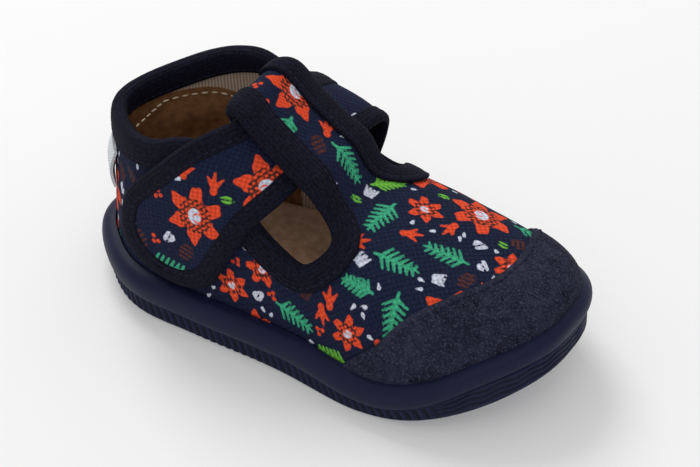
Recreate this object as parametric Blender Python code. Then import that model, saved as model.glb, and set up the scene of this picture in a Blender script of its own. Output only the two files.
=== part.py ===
"""Child's T-bar house slipper, right foot: toe along +X, inner side of the foot along +Y, floor at z = 0.

All sizes are millimetres and are turned into metres when the meshes are made.
The upper is cut from a flat pattern: every pattern point (X, Y) belongs to one place on the last.
"""
import bpy
import numpy as np
from mathutils import Vector
from mathutils.geometry import delaunay_2d_cdt

MM = 0.001

# Plan outline of the sole's band, from the heel (share 0) to the toe (share 1): half breadths.
LENGTH = 140.0
OUTLINE = np.array([
    # share, outer side, inner side
    [0.00, 26.5, 26.5],
    [0.12, 33.4, 32.2],
    [0.30, 31.4, 31.0],
    [0.50, 31.6, 32.0],
    [0.68, 36.2, 35.9],
    [0.84, 38.3, 38.1],
    [1.00, 31.6, 36.4],
])
HEEL_ROUND = 2.37
TOE_ROUND = 2.58

# Toe spring of the underside, and the shallow arch under the waist.
SPRING = 16.2
SPRING_POWER = 2.0
SPRING_FROM = 20.0
ARCH = 1.3
ARCH_FROM = -34.0
ARCH_TO = 2.0

# Sole: ribbed tread below, smooth bulging band above, both drawn as (height, step in from the outline).
TREAD_HEIGHT = 5.7
TREAD_STEP_IN = 1.9
TREAD_TOE_OUT = 0.9
RIB_PITCH = 3.1
RIB_DEPTH = 0.55
RIB_SLANT = 0.5
BAND = np.array([
    # height, step in
    [6.0, 2.3],
    [6.5, 0.9],
    [8.2, 0.1],
    [10.6, 0.0],
    [12.2, 0.6],
    [13.3, 1.9],
    [13.8, 3.7],
])
BAND_INSIDE = 3.9
BAND_FLOOR = 8.5
RIM_HEIGHT = 13.8
RIM_SPRING_SHARE = 0.85

# Rise of the seam between tread and band, and of all above it: a dip beside the ball, a climb round the toe.
SEAM_RISE = np.array([
    # x, rise
    [-70.0, 0.0],
    [-40.0, 0.0],
    [-20.0, 0.0],
    [-5.0, 0.0],
    [7.0, -0.1],
    [20.0, -1.1],
    [33.0, -2.0],
    [43.0, -0.6],
    [53.0, 1.9],
    [61.0, 2.1],
    [70.0, 1.4],
])

# Last above the rim: ridge height, crown squareness and sideways place of the ridge.
LAST_STEP_IN = 4.2
RIDGE_DRAW = 0.25
RIDGE = np.array([
    # x, height, squareness, y
    [-49.0, 102.0, 2.1, 0.0],
    [-40.0, 86.0, 2.5, 0.0],
    [-30.0, 71.0, 3.1, 0.0],
    [-21.0, 60.5, 3.3, 0.0],
    [-12.0, 53.5, 3.1, 0.0],
    [-2.0, 47.5, 2.8, 0.0],
    [10.0, 43.2, 2.6, 0.3],
    [25.0, 39.8, 2.5, 0.8],
    [38.0, 36.2, 2.4, 0.8],
    [49.0, 32.4, 2.3, 0.0],
])

# Upper wall and its topline.
WALL = 1.6
SKIRT = 4.8
COLLAR = np.array([
    # x, then z of the wall's edge on the outer and the inner side, from the heel to the side opening
    [-64.0, 49.4, 49.4],
    [-57.0, 50.2, 52.2],
    [-49.0, 51.6, 55.6],
    [-41.0, 53.6, 58.4],
    [-34.0, 56.6, 59.6],
    [-28.5, 57.0, 58.0],
    [-22.5, 52.8, 53.0],
    [-16.5, 46.4, 47.4],
    [-10.0, 40.2, 41.6],
    [-3.0, 35.3, 36.6],
    [4.6, 32.9, 34.0],
])
T_BAR = np.array([
    # x, half breadth of the T-bar on the outer and the inner side, from the side opening to the fold
    [10.0, 21.2, 19.0],
    [10.2, 17.8, 15.0],
    [7.2, 14.9, 12.0],
    [1.0, 13.7, 10.3],
    [-8.0, 13.2, 10.0],
    [-16.0, 13.0, 10.2],
    [-21.0, 12.9, 10.6],
])
GAP = 0.3

# The T-bar climbs over the strap, turns round a loop and comes back under it.
T_LIFT = 7.0
T_CLIMB_FROM = 11.0
T_CLIMB_TO = -3.0
T_FOLD = -22.4
T_RETURN = 13.0
T_MASK = 22.9
T_FADE = 2.6

# Binding tape folded over the topline.
TAPE = 0.7
TAPE_WIDTH = 6.3
TAPE_GAP = 0.5

# Strap: centre line on the last, breadth along it, and its own tape.
STRAP_LINE = [
    # place ("side" gives x, z and "top" gives x, y), outer side is -1, inner side is +1
    ("side", 1, -14.6, 30.0),
    ("side", 1, -13.8, 40.0),
    ("top", 1, -12.6, 17.0),
    ("top", 1, -11.8, 6.0),
    ("top", -1, -12.1, 6.0),
    ("top", -1, -14.8, 16.0),
    ("side", -1, -22.4, 46.3),
    ("side", -1, -31.0, 34.4),
    ("side", -1, -40.4, 18.0),
]
STRAP_HALF = 11.5
STRAP_FLARE_FROM = 52.0
STRAP_FLARE_TO = 14.0
STRAP_TAB_HALF = 17.2
STRAP_CORNER = 19.0
STRAP_ROUND = 2.3
STRAP_FLY = 1.7
STRAP_THICK = 1.6
STRAP_TAPE_THICK = 2.1
STRAP_TAPE_WIDTH = 5.8
STRAP_TAPE_GAP = 0.45
STRAP_BULGE = 5.5
STRAP_BULGE_FROM = 1.0
STRAP_BULGE_TO = 25.0

# Toe cap: its rear edge in plan, read from the outer side over the toe to the inner side.
CAP = np.array([
    # x, y
    [29.5, -30.0],
    [35.7, -25.0],
    [42.9, -16.5],
    [48.0, -7.0],
    [49.8, 3.0],
    [48.6, 14.0],
    [44.8, 23.5],
    [39.0, 29.0],
])
CAP_FOOT_OUTER = 20.0
CAP_FOOT_INNER = 33.0
CAP_THICK = 1.2
CAP_FOOT = 0.6

# Insole and heel label.
INSOLE_FROM = 8.8
INSOLE_THICK = 2.4
INSOLE_STEP_IN = 6.3
LABEL_ANGLE = 24.0
LABEL_WIDTH = 11.0
LABEL_LOW = 30.0
LABEL_HIGH = 40.6
LABEL_THICK = 0.8
LABEL_STAND = 1.1


def curve(rows, column, at):
    """Smooth value of one table column at the given places in its first column."""
    xs = rows[:, 0]
    ys = rows[:, column]
    slope = np.gradient(ys, xs)
    at = np.clip(np.asarray(at, float), xs[0], xs[-1])
    i = np.clip(np.searchsorted(xs, at) - 1, 0, len(xs) - 2)
    h = xs[i + 1] - xs[i]
    t = (at - xs[i]) / h
    return ((2 * t**3 - 3 * t**2 + 1) * ys[i] + (t**3 - 2 * t**2 + t) * h * slope[i]
            + (3 * t**2 - 2 * t**3) * ys[i + 1] + (t**3 - t**2) * h * slope[i + 1])


def ease(t):
    t = np.clip(t, 0.0, 1.0)
    return t * t * t * (t * (6 * t - 15) + 10)


def spring(x):
    return SPRING * np.clip((x - SPRING_FROM) / (LENGTH / 2 - SPRING_FROM), 0.0, None) ** SPRING_POWER


def seam_rise(x):
    return curve(SEAM_RISE, 1, x)


def plain_outline(angle):
    """Plan outline of the band: angle 0 at the toe, a quarter turn on the outer side, half at the heel."""
    c = np.cos(angle)
    s = np.sin(angle)
    n = np.where(c > 0, TOE_ROUND, HEEL_ROUND)
    rho = (np.abs(c) ** n + np.abs(s) ** n) ** (1 / n)
    share = (c / rho + 1) / 2
    half = np.where(s >= 0, curve(OUTLINE, 1, share), curve(OUTLINE, 2, share))
    return LENGTH / 2 * c / rho, -half * s / rho


def outline(angle, step_in):
    """Outline moved inwards along its own normal."""
    h = 2e-3
    x, y = plain_outline(angle)
    xa, ya = plain_outline(angle - h)
    xb, yb = plain_outline(angle + h)
    tx = xb - xa
    ty = yb - ya
    size = np.hypot(tx, ty)
    return x + ty / size * step_in, y - tx / size * step_in


def full_section(angle):
    """One profile of the last: foot on the rim, ridge point, squareness."""
    px, py = outline(angle, LAST_STEP_IN)
    end = LENGTH / 2 - LAST_STEP_IN
    xr = px * (1 - RIDGE_DRAW * np.abs(px / end) ** 3)
    zf = RIM_HEIGHT + RIM_SPRING_SHARE * spring(px) + seam_rise(px)
    return px, py, zf, xr, curve(RIDGE, 3, xr), curve(RIDGE, 1, xr), curve(RIDGE, 2, xr)


PROFILE_ANGLES = np.linspace(-np.pi - 0.1, np.pi + 0.1, 6001)
PROFILES = full_section(PROFILE_ANGLES)


def section(angle):
    """Profile at any angle, read from the prepared round of profiles."""
    return [np.interp(angle, PROFILE_ANGLES, column) for column in PROFILES]


def on_section(sec, v):
    """Point of a profile at level v: 0 on the rim, 1 on the ridge, below 0 straight down into the sole."""
    px, py, zf, xr, yr, zr, m = sec
    tau = np.clip(v, 0.0, 1.0) * np.pi / 2
    rho = (np.cos(tau) ** m + np.sin(tau) ** m) ** (1 / m)
    a = 1 - np.cos(tau) / rho
    b = np.sin(tau) / rho
    drop = np.minimum(v, 0.0) * span(sec)
    return np.stack([px + (xr - px) * a, py + (yr - py) * a, zf + (zr - zf) * b + drop], -1)


def span(sec):
    """Length of a profile from the rim to the ridge."""
    px, py, zf, xr, yr, zr, m = sec
    reach = np.hypot(xr - px, yr - py)
    tau = np.linspace(0, np.pi / 2, 13)[:, None]
    rho = (np.cos(tau) ** m + np.sin(tau) ** m) ** (1 / m)
    flat = reach * np.cos(tau) / rho
    rise = (zr - zf) * np.sin(tau) / rho
    return np.hypot(np.diff(flat, axis=0), np.diff(rise, axis=0)).sum(0)


def pattern(angle, v):
    """Flat pattern place of a point on the last: profiles are laid out at full length round the ridge."""
    sec = section(np.atleast_1d(np.asarray(angle, float)))
    px, py, zf, xr, yr, zr, m = sec
    reach = np.hypot(px - xr, py - yr)
    far = (1 - v) * span(sec)
    return np.stack([xr + (px - xr) / reach * far, yr + (py - yr) / reach * far], -1)


def locate(xy):
    """Profile angle and level of flat pattern places."""
    x = xy[:, 0]
    y = xy[:, 1]
    inner = np.where(y > curve(RIDGE, 3, x), -1.0, 1.0)
    low = np.zeros(len(x))
    high = np.full(len(x), np.pi)
    for _ in range(44):
        mid = (low + high) / 2
        px, py, _, xr, yr, _, _ = section(mid * inner)
        turn = ((px - xr) * (y - yr) - (py - yr) * (x - xr)) * inner
        low = np.where(turn < 0, mid, low)
        high = np.where(turn < 0, high, mid)
    angle = (low + high) / 2 * inner
    sec = section(angle)
    return angle, sec, 1 - np.hypot(x - sec[3], y - sec[4]) / span(sec)


def last(xy):
    """Place on the last of flat pattern points."""
    xy = np.atleast_2d(np.asarray(xy, float))
    _, sec, v = locate(xy)
    return on_section(sec, v)


def frame(xy):
    """Place, the two pattern directions and the outward normal on the last."""
    xy = np.atleast_2d(np.asarray(xy, float))
    h = 0.08
    ex = np.array([h, 0.0])
    ey = np.array([0.0, h])
    gx = (last(xy + ex) - last(xy - ex)) / (2 * h)
    gy = (last(xy + ey) - last(xy - ey)) / (2 * h)
    n = np.cross(gx, gy)
    n /= np.linalg.norm(n, axis=1, keepdims=True)
    return last(xy), gx, gy, n


def walk(xy, direction, distance, steps=4):
    """Pattern places reached by going a true distance over the last in a given direction of space."""
    xy = np.array(xy, float)
    part = np.broadcast_to(np.asarray(distance, float) / steps, (len(xy),))
    for _ in range(steps):
        _, gx, gy, n = frame(xy)
        d = direction - (direction * n).sum(1, keepdims=True) * n
        d /= np.linalg.norm(d, axis=1, keepdims=True)
        aa = (gx * gx).sum(1)
        ab = (gx * gy).sum(1)
        bb = (gy * gy).sum(1)
        da = (gx * d).sum(1)
        db = (gy * d).sum(1)
        det = aa * bb - ab * ab
        xy = xy + np.stack([(bb * da - ab * db) / det, (aa * db - ab * da) / det], -1) * part[:, None]
    return xy


def find(side, x, z=None, y=None):
    """Pattern place on one side of the last (outer -1, inner +1) with the given x and z, or x and y."""
    low, high = 0.0, np.pi
    for _ in range(50):
        angle = (low + high) / 2
        sec = section(np.array([-side * angle]))
        px, py, zf, xr, yr, zr, m = [float(s[0]) for s in sec]
        if z is not None:
            b = min(max((z - zf) / (zr - zf), 0.0), 1.0)
            c = (1 - b**m) ** (1 / m)
        else:
            c = min(max((y - yr) / (py - yr), 0.0), 1.0)
            b = (1 - c**m) ** (1 / m)
        if xr + (px - xr) * c > x:
            low = angle
        else:
            high = angle
    v = np.arctan2(b, c) / (np.pi / 2)
    return pattern(-side * angle, v)[0]


def through(points, count=60):
    """Smooth curve through flat points, densely sampled."""
    p = np.asarray(points, float)
    t = np.concatenate([[0], np.cumsum(np.sqrt(np.linalg.norm(np.diff(p, axis=0), axis=1)))])
    pieces = [np.linspace(t[i], t[i + 1], count, endpoint=False) for i in range(len(p) - 1)]
    at = np.concatenate(pieces + [[t[-1]]])
    rows = np.column_stack([t, p])
    return np.column_stack([curve(rows, 1 + k, at) for k in range(p.shape[1])])


def spaced(path, place, step):
    """Points along a dense path at about equal true distances."""
    q = place(path)
    run = np.concatenate([[0], np.cumsum(np.linalg.norm(np.diff(q, axis=0), axis=1))])
    at = np.linspace(0, run[-1], max(2, int(round(run[-1] / step)) + 1))
    return np.column_stack([np.interp(at, run, path[:, k]) for k in range(2)])


T_ROUND = T_LIFT / 2
FOLD_STEPS = np.concatenate([T_ROUND * np.radians(np.arange(0, 181, 30)),
                             np.pi * T_ROUND + np.linspace(0, T_RETURN, 5)[1:]])


def upper_wall(xy, off):
    """Point of the upper at a distance outside its outer face, with the T-bar's climb and loop."""
    xy = np.atleast_2d(np.asarray(xy, float))
    bar = (1 - ease((np.abs(xy[:, 1]) - T_MASK) / T_FADE)) * (np.abs(xy[:, 0] + 25) < 40)
    behind = np.where(bar > 0.5, np.clip(T_FOLD - xy[:, 0], 0.0, None), 0.0)
    turn = np.clip(behind / T_ROUND, 0.0, np.pi)
    back = np.clip(behind - np.pi * T_ROUND, 0.0, None)
    base = xy.copy()
    base[:, 0] = np.where(behind > 0, T_FOLD + back, xy[:, 0])
    p, gx, _, n = frame(base)
    rear = -gx / np.linalg.norm(gx, axis=1, keepdims=True)
    climb = T_LIFT * ease((T_CLIMB_FROM - xy[:, 0]) / (T_CLIMB_FROM - T_CLIMB_TO)) * bar
    mid = climb - WALL / 2
    height = np.where(behind > 0, T_LIFT / 2 - WALL / 2 + T_ROUND * np.cos(turn), mid)
    facing = n * np.cos(turn)[:, None] + rear * np.sin(turn)[:, None]
    middle = p + n * height[:, None] + rear * (T_ROUND * np.sin(turn))[:, None]
    return middle + facing * (off + WALL / 2)[:, None]


def offset_layer(xy, off):
    return upper_wall(xy, np.full(len(xy), float(off)))


def plain_layer(xy, off):
    p, _, _, n = frame(xy)
    return p + n * np.asarray(off, float).reshape(-1, 1)


def inside(points, loop):
    """Which flat points lie inside a closed loop."""
    x, y = points[:, 0:1], points[:, 1:2]
    ax, ay = loop[:, 0], loop[:, 1]
    bx, by = np.roll(ax, -1), np.roll(ay, -1)
    cross = (ay > y) != (by > y)
    with np.errstate(divide="ignore", invalid="ignore"):
        hit = x < (bx - ax) * (y - ay) / (by - ay) + ax
    return (cross & hit).sum(1) % 2 == 1


def triangles(loops, points):
    """Triangles of the flat region inside the first loop and outside the others."""
    verts = np.vstack(list(loops) + [points])
    edges = []
    start = 0
    for loop in loops:
        n = len(loop)
        edges += [(start + i, start + (i + 1) % n) for i in range(n)]
        start += n
    out = delaunay_2d_cdt([Vector(v) for v in verts], edges, [], 1, 1e-6, True)
    flat = np.array([tuple(v) for v in out[0]])
    tris = [t for t in out[2]]
    centre = np.array([flat[list(t)].mean(0) for t in tris])
    keep = inside(centre, loops[0])
    for hole in loops[1:]:
        keep &= ~inside(centre, hole)
    order = []
    for t, k in zip(tris, keep):
        if k:
            a, b, c = flat[list(t)]
            turn = (b[0] - a[0]) * (c[1] - a[1]) - (b[1] - a[1]) * (c[0] - a[0])
            order.append(tuple(t) if turn > 0 else tuple(t[::-1]))
    used = sorted({i for t in order for i in t})
    where = {i: k for k, i in enumerate(used)}
    return flat[used], [tuple(where[i] for i in t) for t in order]


def clear_of(points, loops, distance):
    """Points that keep a distance from every stretch of the loops."""
    keep = np.ones(len(points), bool)
    for loop in loops:
        for share in (0.0, 0.25, 0.5, 0.75):
            along = loop + share * (np.roll(loop, -1, axis=0) - loop)
            keep &= np.linalg.norm(points[:, None] - along[None], axis=2).min(1) > distance
    return points[keep]


def add_object(name, verts, faces, colour, rough):
    """Mesh object with its own material; faces are turned so that the solid faces out."""
    corners = [(np.asarray(verts[f[0]]), np.asarray(verts[f[k]]), np.asarray(verts[f[k + 1]]))
               for f in faces for k in range(1, len(f) - 1)]
    a, b, c = (np.array([t[k] for t in corners]) for k in range(3))
    if np.einsum("ij,ij->", a, np.cross(b, c)) < 0:
        faces = [tuple(f)[::-1] for f in faces]
    mesh = bpy.data.meshes.new(name)
    places = [tuple(float(c) * MM for c in v) for v in verts]
    mesh.from_pydata(places, [], [tuple(int(i) for i in f) for f in faces])
    mesh.validate()
    mesh.update()
    material = bpy.data.materials.new(name)
    material.use_nodes = True
    shader = material.node_tree.nodes["Principled BSDF"]
    shader.inputs["Base Color"].default_value = (*colour, 1.0)
    shader.inputs["Roughness"].default_value = rough
    mesh.materials.append(material)
    obj = bpy.data.objects.new(name, mesh)
    bpy.context.scene.collection.objects.link(obj)
    return obj


def shell(name, flat, tris, outer, inner, colour, rough):
    """Closed sheet between an outer and an inner layer of one flat triangulation."""
    n = len(flat)
    verts = np.vstack([outer, inner])
    faces = [tuple(t) for t in tris] + [tuple(i + n for i in t[::-1]) for t in tris]
    seen = {}
    for t in tris:
        for k in range(3):
            a, b = t[k], t[(k + 1) % 3]
            seen[(a, b)] = seen.get((a, b), 0) + 1
    for a, b in seen:
        if (b, a) not in seen:
            faces.append((b, a, a + n))
            faces.append((b, a + n, b + n))
    return add_object(name, verts, faces, colour, rough)


def sweep(name, rings, colour, rough):
    """Closed solid through rings of equal count, capped at both ends; patches split on the short diagonal."""
    rings = np.asarray(rings)
    count, size = rings.shape[:2]
    verts = rings.reshape(-1, 3)
    faces = []
    for i in range(count - 1):
        for k in range(size):
            a = i * size + k
            b = i * size + (k + 1) % size
            if np.linalg.norm(verts[a] - verts[b + size]) < np.linalg.norm(verts[b] - verts[a + size]):
                faces += [(a, b, b + size), (a, b + size, a + size)]
            else:
                faces += [(a, b, a + size), (b, b + size, a + size)]
    faces.append(tuple(range(size))[::-1])
    faces.append(tuple((count - 1) * size + k for k in range(size)))
    return add_object(name, verts, faces, colour, rough)


def stack(name, rings, low, high, colour, rough):
    """Closed solid through level rings round the shoe; its underside and top follow given heights."""
    size = len(rings[0])
    verts = [tuple(v) for ring in rings for v in ring]
    faces = []
    for i in range(len(rings) - 1):
        for k in range(size):
            m = (k + 1) % size
            faces.append((i * size + k, (i + 1) * size + k, (i + 1) * size + m, i * size + m))
    last_start = (len(rings) - 1) * size
    for ring, start, height, under in ((rings[0], 0, low, True), (rings[-1], last_start, high, False)):
        flat = ring[:, :2]
        middle = np.column_stack([np.linspace(flat[:, 0].min() + 7, flat[:, 0].max() - 7, 22), np.zeros(22)])
        _, tris = triangles([flat], middle)
        place = [start + k for k in range(size)] + [len(verts) + k for k in range(len(middle))]
        verts += [(x, y, float(height(x))) for x, y in middle]
        faces += [tuple(place[i] for i in (t[::-1] if under else t)) for t in tris]
    return add_object(name, np.array(verts), faces, colour, rough)


def even_angles(count, step_in):
    """Outline angles that lie at equal distances along the outline."""
    dense = np.linspace(0, 2 * np.pi, 2881)
    x, y = outline(dense, step_in)
    run = np.concatenate([[0], np.cumsum(np.hypot(np.diff(x), np.diff(y)))])
    return np.interp(np.linspace(0, run[-1], count, endpoint=False), run, dense), run[-1]


def arch_rise(x):
    t = np.clip((x - ARCH_FROM) / (ARCH_TO - ARCH_FROM), 0, 1)
    return ARCH * np.sin(np.pi * t) ** 2


def profile_lift(angle):
    """Toe spring of a whole profile of the sole, taken where the upper stands on it."""
    return spring(outline(angle, LAST_STEP_IN)[0])


def profile_rise(angle):
    """Rise of the seam for a whole profile of the sole, taken at the same place."""
    return seam_rise(outline(angle, LAST_STEP_IN)[0])


def make_tread():
    _, length = even_angles(10, TREAD_STEP_IN)
    ribs = int(round(length / RIB_PITCH))
    angles, _ = even_angles(2 * ribs, TREAD_STEP_IN)
    valley = np.arange(2 * ribs) % 2 == 1
    rings = []
    for height, step, heel_step, depth, slant in ((0.0, 1.0, 0.8, 0.0, 0.0), (1.0, 0.2, 0.3, 1.0, 0.0),
                                                  (4.9, 0.0, 0.0, 1.0, RIB_SLANT),
                                                  (TREAD_HEIGHT, 0.5, 0.0, 0.0, RIB_SLANT)):
        turned = angles + slant * RIB_PITCH / length * 2 * np.pi
        at = outline(turned, LAST_STEP_IN)[0]
        step = step + heel_step * (1 - ease((at + 10.0) / 22.0)) - TREAD_TOE_OUT * ease((at - 40.0) / 22.0)
        x, y = outline(turned, TREAD_STEP_IN + step)
        xd, yd = outline(turned, TREAD_STEP_IN + step + RIB_DEPTH * depth)
        x = np.where(valley, xd, x)
        y = np.where(valley, yd, y)
        arch = arch_rise(x) if height == 0.0 else 0.0
        lift = profile_lift(turned) * (1 - 0.05 * height / TREAD_HEIGHT)
        tall = height * (1 + profile_rise(turned) / TREAD_HEIGHT)
        rings.append(np.column_stack([x, y, tall + lift + arch]))
    return (rings, lambda x: spring(x) + arch_rise(x),
            lambda x: TREAD_HEIGHT + 0.95 * spring(x) + seam_rise(x))


def make_band():
    angles, _ = even_angles(92, 0.0)
    lift = profile_lift(angles)
    rise = profile_rise(angles)
    rings = []
    for height, step in BAND:
        x, y = outline(angles, step)
        share = 0.95 - 0.10 * (height - BAND[0, 0]) / (RIM_HEIGHT - BAND[0, 0])
        rings.append(np.column_stack([x, y, height + share * lift + rise]))
    x, y = outline(angles, BAND_INSIDE)
    rings.append(np.column_stack([x, y, RIM_HEIGHT - 0.2 + RIM_SPRING_SHARE * lift + rise]))
    rings.append(np.column_stack([x, y, BAND_FLOOR + RIM_SPRING_SHARE * lift + rise]))
    return (rings, lambda x: BAND[0, 0] + 0.95 * spring(x) + seam_rise(x),
            lambda x: BAND_FLOOR + RIM_SPRING_SHARE * spring(x) + seam_rise(x))


def make_insole():
    angles, _ = even_angles(76, INSOLE_STEP_IN)
    lift = RIM_SPRING_SHARE * profile_lift(angles) + profile_rise(angles)
    x, y = outline(angles, INSOLE_STEP_IN)
    low = INSOLE_FROM + lift
    xe, ye = outline(angles, INSOLE_STEP_IN + 0.7)
    rings = [np.column_stack([x, y, low]), np.column_stack([x, y, low + INSOLE_THICK - 0.7]),
             np.column_stack([xe, ye, low + INSOLE_THICK])]
    return (rings, lambda x: INSOLE_FROM + RIM_SPRING_SHARE * spring(x) + seam_rise(x),
            lambda x: INSOLE_FROM + INSOLE_THICK + RIM_SPRING_SHARE * spring(x) + seam_rise(x))


def topline(side):
    """Flat topline of one side, from the middle of the heel to the T-bar's fold."""
    rise = COLLAR[:, [0, 1 if side < 0 else 2]]
    px, _, zf, xr, _, zr, m = section(np.pi)
    back = xr + (px - xr) * (1 - ((rise[0, 1] - zf) / (zr - zf)) ** m) ** (1 / m)
    xs = back + (COLLAR[-3, 0] - back) * np.linspace(0, 1, 40) ** 2
    points = [find(side, x, z=float(curve(rise, 1, x))) for x in xs]
    points[0][1] = 0.0
    points += [find(side, x, z=z) for x, z in rise[-2:]]
    points += [find(side, row[0], y=side * row[1 if side < 0 else 2]) for row in T_BAR]
    points.append(np.array([T_FOLD, points[-1][1]]))
    return through(points, 12)


def grid_points():
    """Even spread of flat points over the last, level by level."""
    rows = []
    for k, v in enumerate((-0.01, 0.09, 0.2, 0.31, 0.42, 0.54, 0.66, 0.78, 0.9, 1.0)):
        count = (66, 60, 56, 52, 46, 42, 38, 34, 30, 26)[k]
        angles, _ = even_angles(count, LAST_STEP_IN)
        angles = np.where(angles > np.pi, angles - 2 * np.pi, angles) + (0.02 if k % 2 else -0.02)
        rows.append(pattern(angles, np.full(count, v)))
    across = (-9.0, -3.0, 3.0, 9.0)
    bar = [(x, y) for x in np.arange(-19.0, 8, 3.4) for y in across]
    bar += [(T_FOLD - x, y) for x in FOLD_STEPS[:-1] for y in across]
    return np.vstack(rows + [np.array(bar)])


def make_upper():
    """Flat outer loop, topline loop, tape path and triangulation of the upper."""
    angles, _ = even_angles(96, LAST_STEP_IN)
    angles = np.where(angles > np.pi, angles - 2 * np.pi, angles)
    sec = section(angles)
    foot = pattern(angles, -SKIRT / span(sec))
    outer_side = topline(-1)
    inner_side = topline(1)
    a = spaced(outer_side, lambda p: last(walk(p, -into_wall(p), TAPE_WIDTH * 0.7)), 3.2)
    b = spaced(inner_side, lambda p: last(walk(p, into_wall(p), TAPE_WIDTH * 0.7)), 3.2)
    path = np.vstack([a[::-1], b[1:]])
    start, stop = round_fold(path, FOLD_STEPS[1:])
    hole = np.vstack([start, path, stop, np.linspace(stop[-1], start[0], 7)[1:-1]])
    points = grid_points()
    points = points[inside(points, foot) & ~inside(points, hole)]
    under = []
    for w in (TAPE_WIDTH * 0.45, TAPE_WIDTH + 0.2):
        row = walk(path, into_wall(path), w)
        start, stop = round_fold(row, FOLD_STEPS[1:-1])
        under.append(np.vstack([start, row, stop]))
    points = clear_of(points, [foot, hole] + under, 2.2)
    flat, tris = triangles([foot, hole], np.vstack([points] + under))
    return flat, tris, path


def round_fold(row, steps):
    """Pattern places that carry both ends of a row over the T-bar on round its fold."""
    start = np.column_stack([T_FOLD - steps[::-1], np.full(len(steps), row[0, 1])])
    stop = np.column_stack([T_FOLD - steps, np.full(len(steps), row[-1, 1])])
    return start, stop


def into_wall(path):
    """Directions of space that lead from the topline into the wall."""
    p, gx, gy, n = frame(path)
    step = np.gradient(path, axis=0)
    t = gx * step[:, 0:1] + gy * step[:, 1:2]
    t /= np.linalg.norm(t, axis=1, keepdims=True)
    return np.cross(n, t)


def make_tape(path):
    """Folded tape over the topline: rings of a U-shaped profile, carried round the T-bar's fold."""
    direction = into_wall(path)
    out = TAPE_GAP + TAPE
    deep = -WALL - TAPE_GAP
    lip = -GAP - TAPE
    profile = [(TAPE_WIDTH, out), (TAPE_WIDTH * 0.45, out), (-0.1, out), (lip, 0.1), (lip, -WALL - 0.1),
               (-0.1, deep - TAPE), (TAPE_WIDTH, deep - TAPE), (TAPE_WIDTH, deep), (-GAP, deep),
               (-GAP, TAPE_GAP), (TAPE_WIDTH * 0.45, TAPE_GAP), (TAPE_WIDTH, TAPE_GAP)]
    rings = []
    for w, off in profile:
        row = walk(path, direction * np.sign(w), abs(w))
        start, stop = round_fold(row, FOLD_STEPS[1:5])
        row = np.vstack([start, row, stop])
        rings.append(upper_wall(row, np.full(len(row), off)))
    return np.stack(rings, 1)


def strap_line(inset):
    """Strap stations for an outline moved in: pattern place, half breadth, direction to the toe, height."""
    points = []
    for kind, side, a, b in STRAP_LINE:
        points.append(find(side, a, z=b) if kind == "side" else find(side, a, y=b * side))
    dense = through(points)
    p = last(dense)
    run = np.concatenate([[0], np.cumsum(np.linalg.norm(np.diff(p, axis=0), axis=1))])
    straight = run[-1] - STRAP_CORNER
    turn = np.linspace(0, np.pi / 2, 11)
    corner = np.sin(turn) ** (2 / STRAP_ROUND)
    at = np.concatenate([np.linspace(0, straight, int(round(straight / 3.3)), endpoint=False),
                         straight + (STRAP_CORNER - inset) * corner])
    left = run[-1] - at
    flare = np.clip((STRAP_FLARE_FROM - left) / (STRAP_FLARE_FROM - STRAP_FLARE_TO), 0, 1)
    half = STRAP_HALF + (STRAP_TAB_HALF - STRAP_HALF) * flare - inset
    half[-11:] *= np.abs(np.cos(turn)) ** (2 / STRAP_ROUND)
    path = np.column_stack([np.interp(at, run, dense[:, k]) for k in range(2)])
    _, gx, gy, n = frame(path)
    ahead = np.column_stack([np.interp(at + 0.3, run, dense[:, k]) for k in range(2)])
    behind = np.column_stack([np.interp(at - 0.3, run, dense[:, k]) for k in range(2)])
    step = ahead - behind
    t = gx * step[:, 0:1] + gy * step[:, 1:2]
    t /= np.linalg.norm(t, axis=1, keepdims=True)
    bulge = np.clip((at - STRAP_BULGE_FROM) / (STRAP_BULGE_TO - STRAP_BULGE_FROM), 0, 1)
    return path, half, np.cross(n, t), STRAP_FLY + STRAP_BULGE * np.sin(np.pi * bulge) ** 2


def make_strap():
    """Rings across the strap's printed panel: upper face from rear to front, then the lower face back."""
    path, half, side, rise = strap_line(STRAP_TAPE_WIDTH + STRAP_TAPE_GAP)
    path, half, side, rise = path[:-1], half[:-1], side[:-1], rise[:-1]
    across = (-1.0, -0.4, 0.4, 1.0)
    rows = []
    for off, shares in ((rise + STRAP_THICK, across), (rise, across[::-1])):
        for share in shares:
            at = walk(path, side * np.sign(share), abs(share) * half, 6)
            rows.append(plain_layer(at, off))
    return np.stack(rows, 1)


def make_strap_tape():
    """Rings of the tape along the strap's outline: rear edge, round the tab, front edge."""
    rows = []
    for inset, off in ((STRAP_TAPE_WIDTH, STRAP_TAPE_THICK), (1.0, STRAP_TAPE_THICK),
                       (0.0, STRAP_TAPE_THICK - 0.8), (0.0, 0.0), (STRAP_TAPE_WIDTH, 0.0)):
        path, half, side, rise = strap_line(inset)
        edge = np.vstack([walk(path, -side, half, 6), walk(path, side, half, 6)[-2::-1]])
        rows.append(plain_layer(edge, np.concatenate([rise, rise[-2::-1]]) + off))
    return np.stack(rows, 1)


def rim_angle(side, x):
    """Angle on one side where the upper's foot on the rim has the given x."""
    angles = np.linspace(0, np.pi, 2001)
    px = section(-side * angles)[0]
    return -side * float(np.interp(-x, -px, angles))


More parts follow.
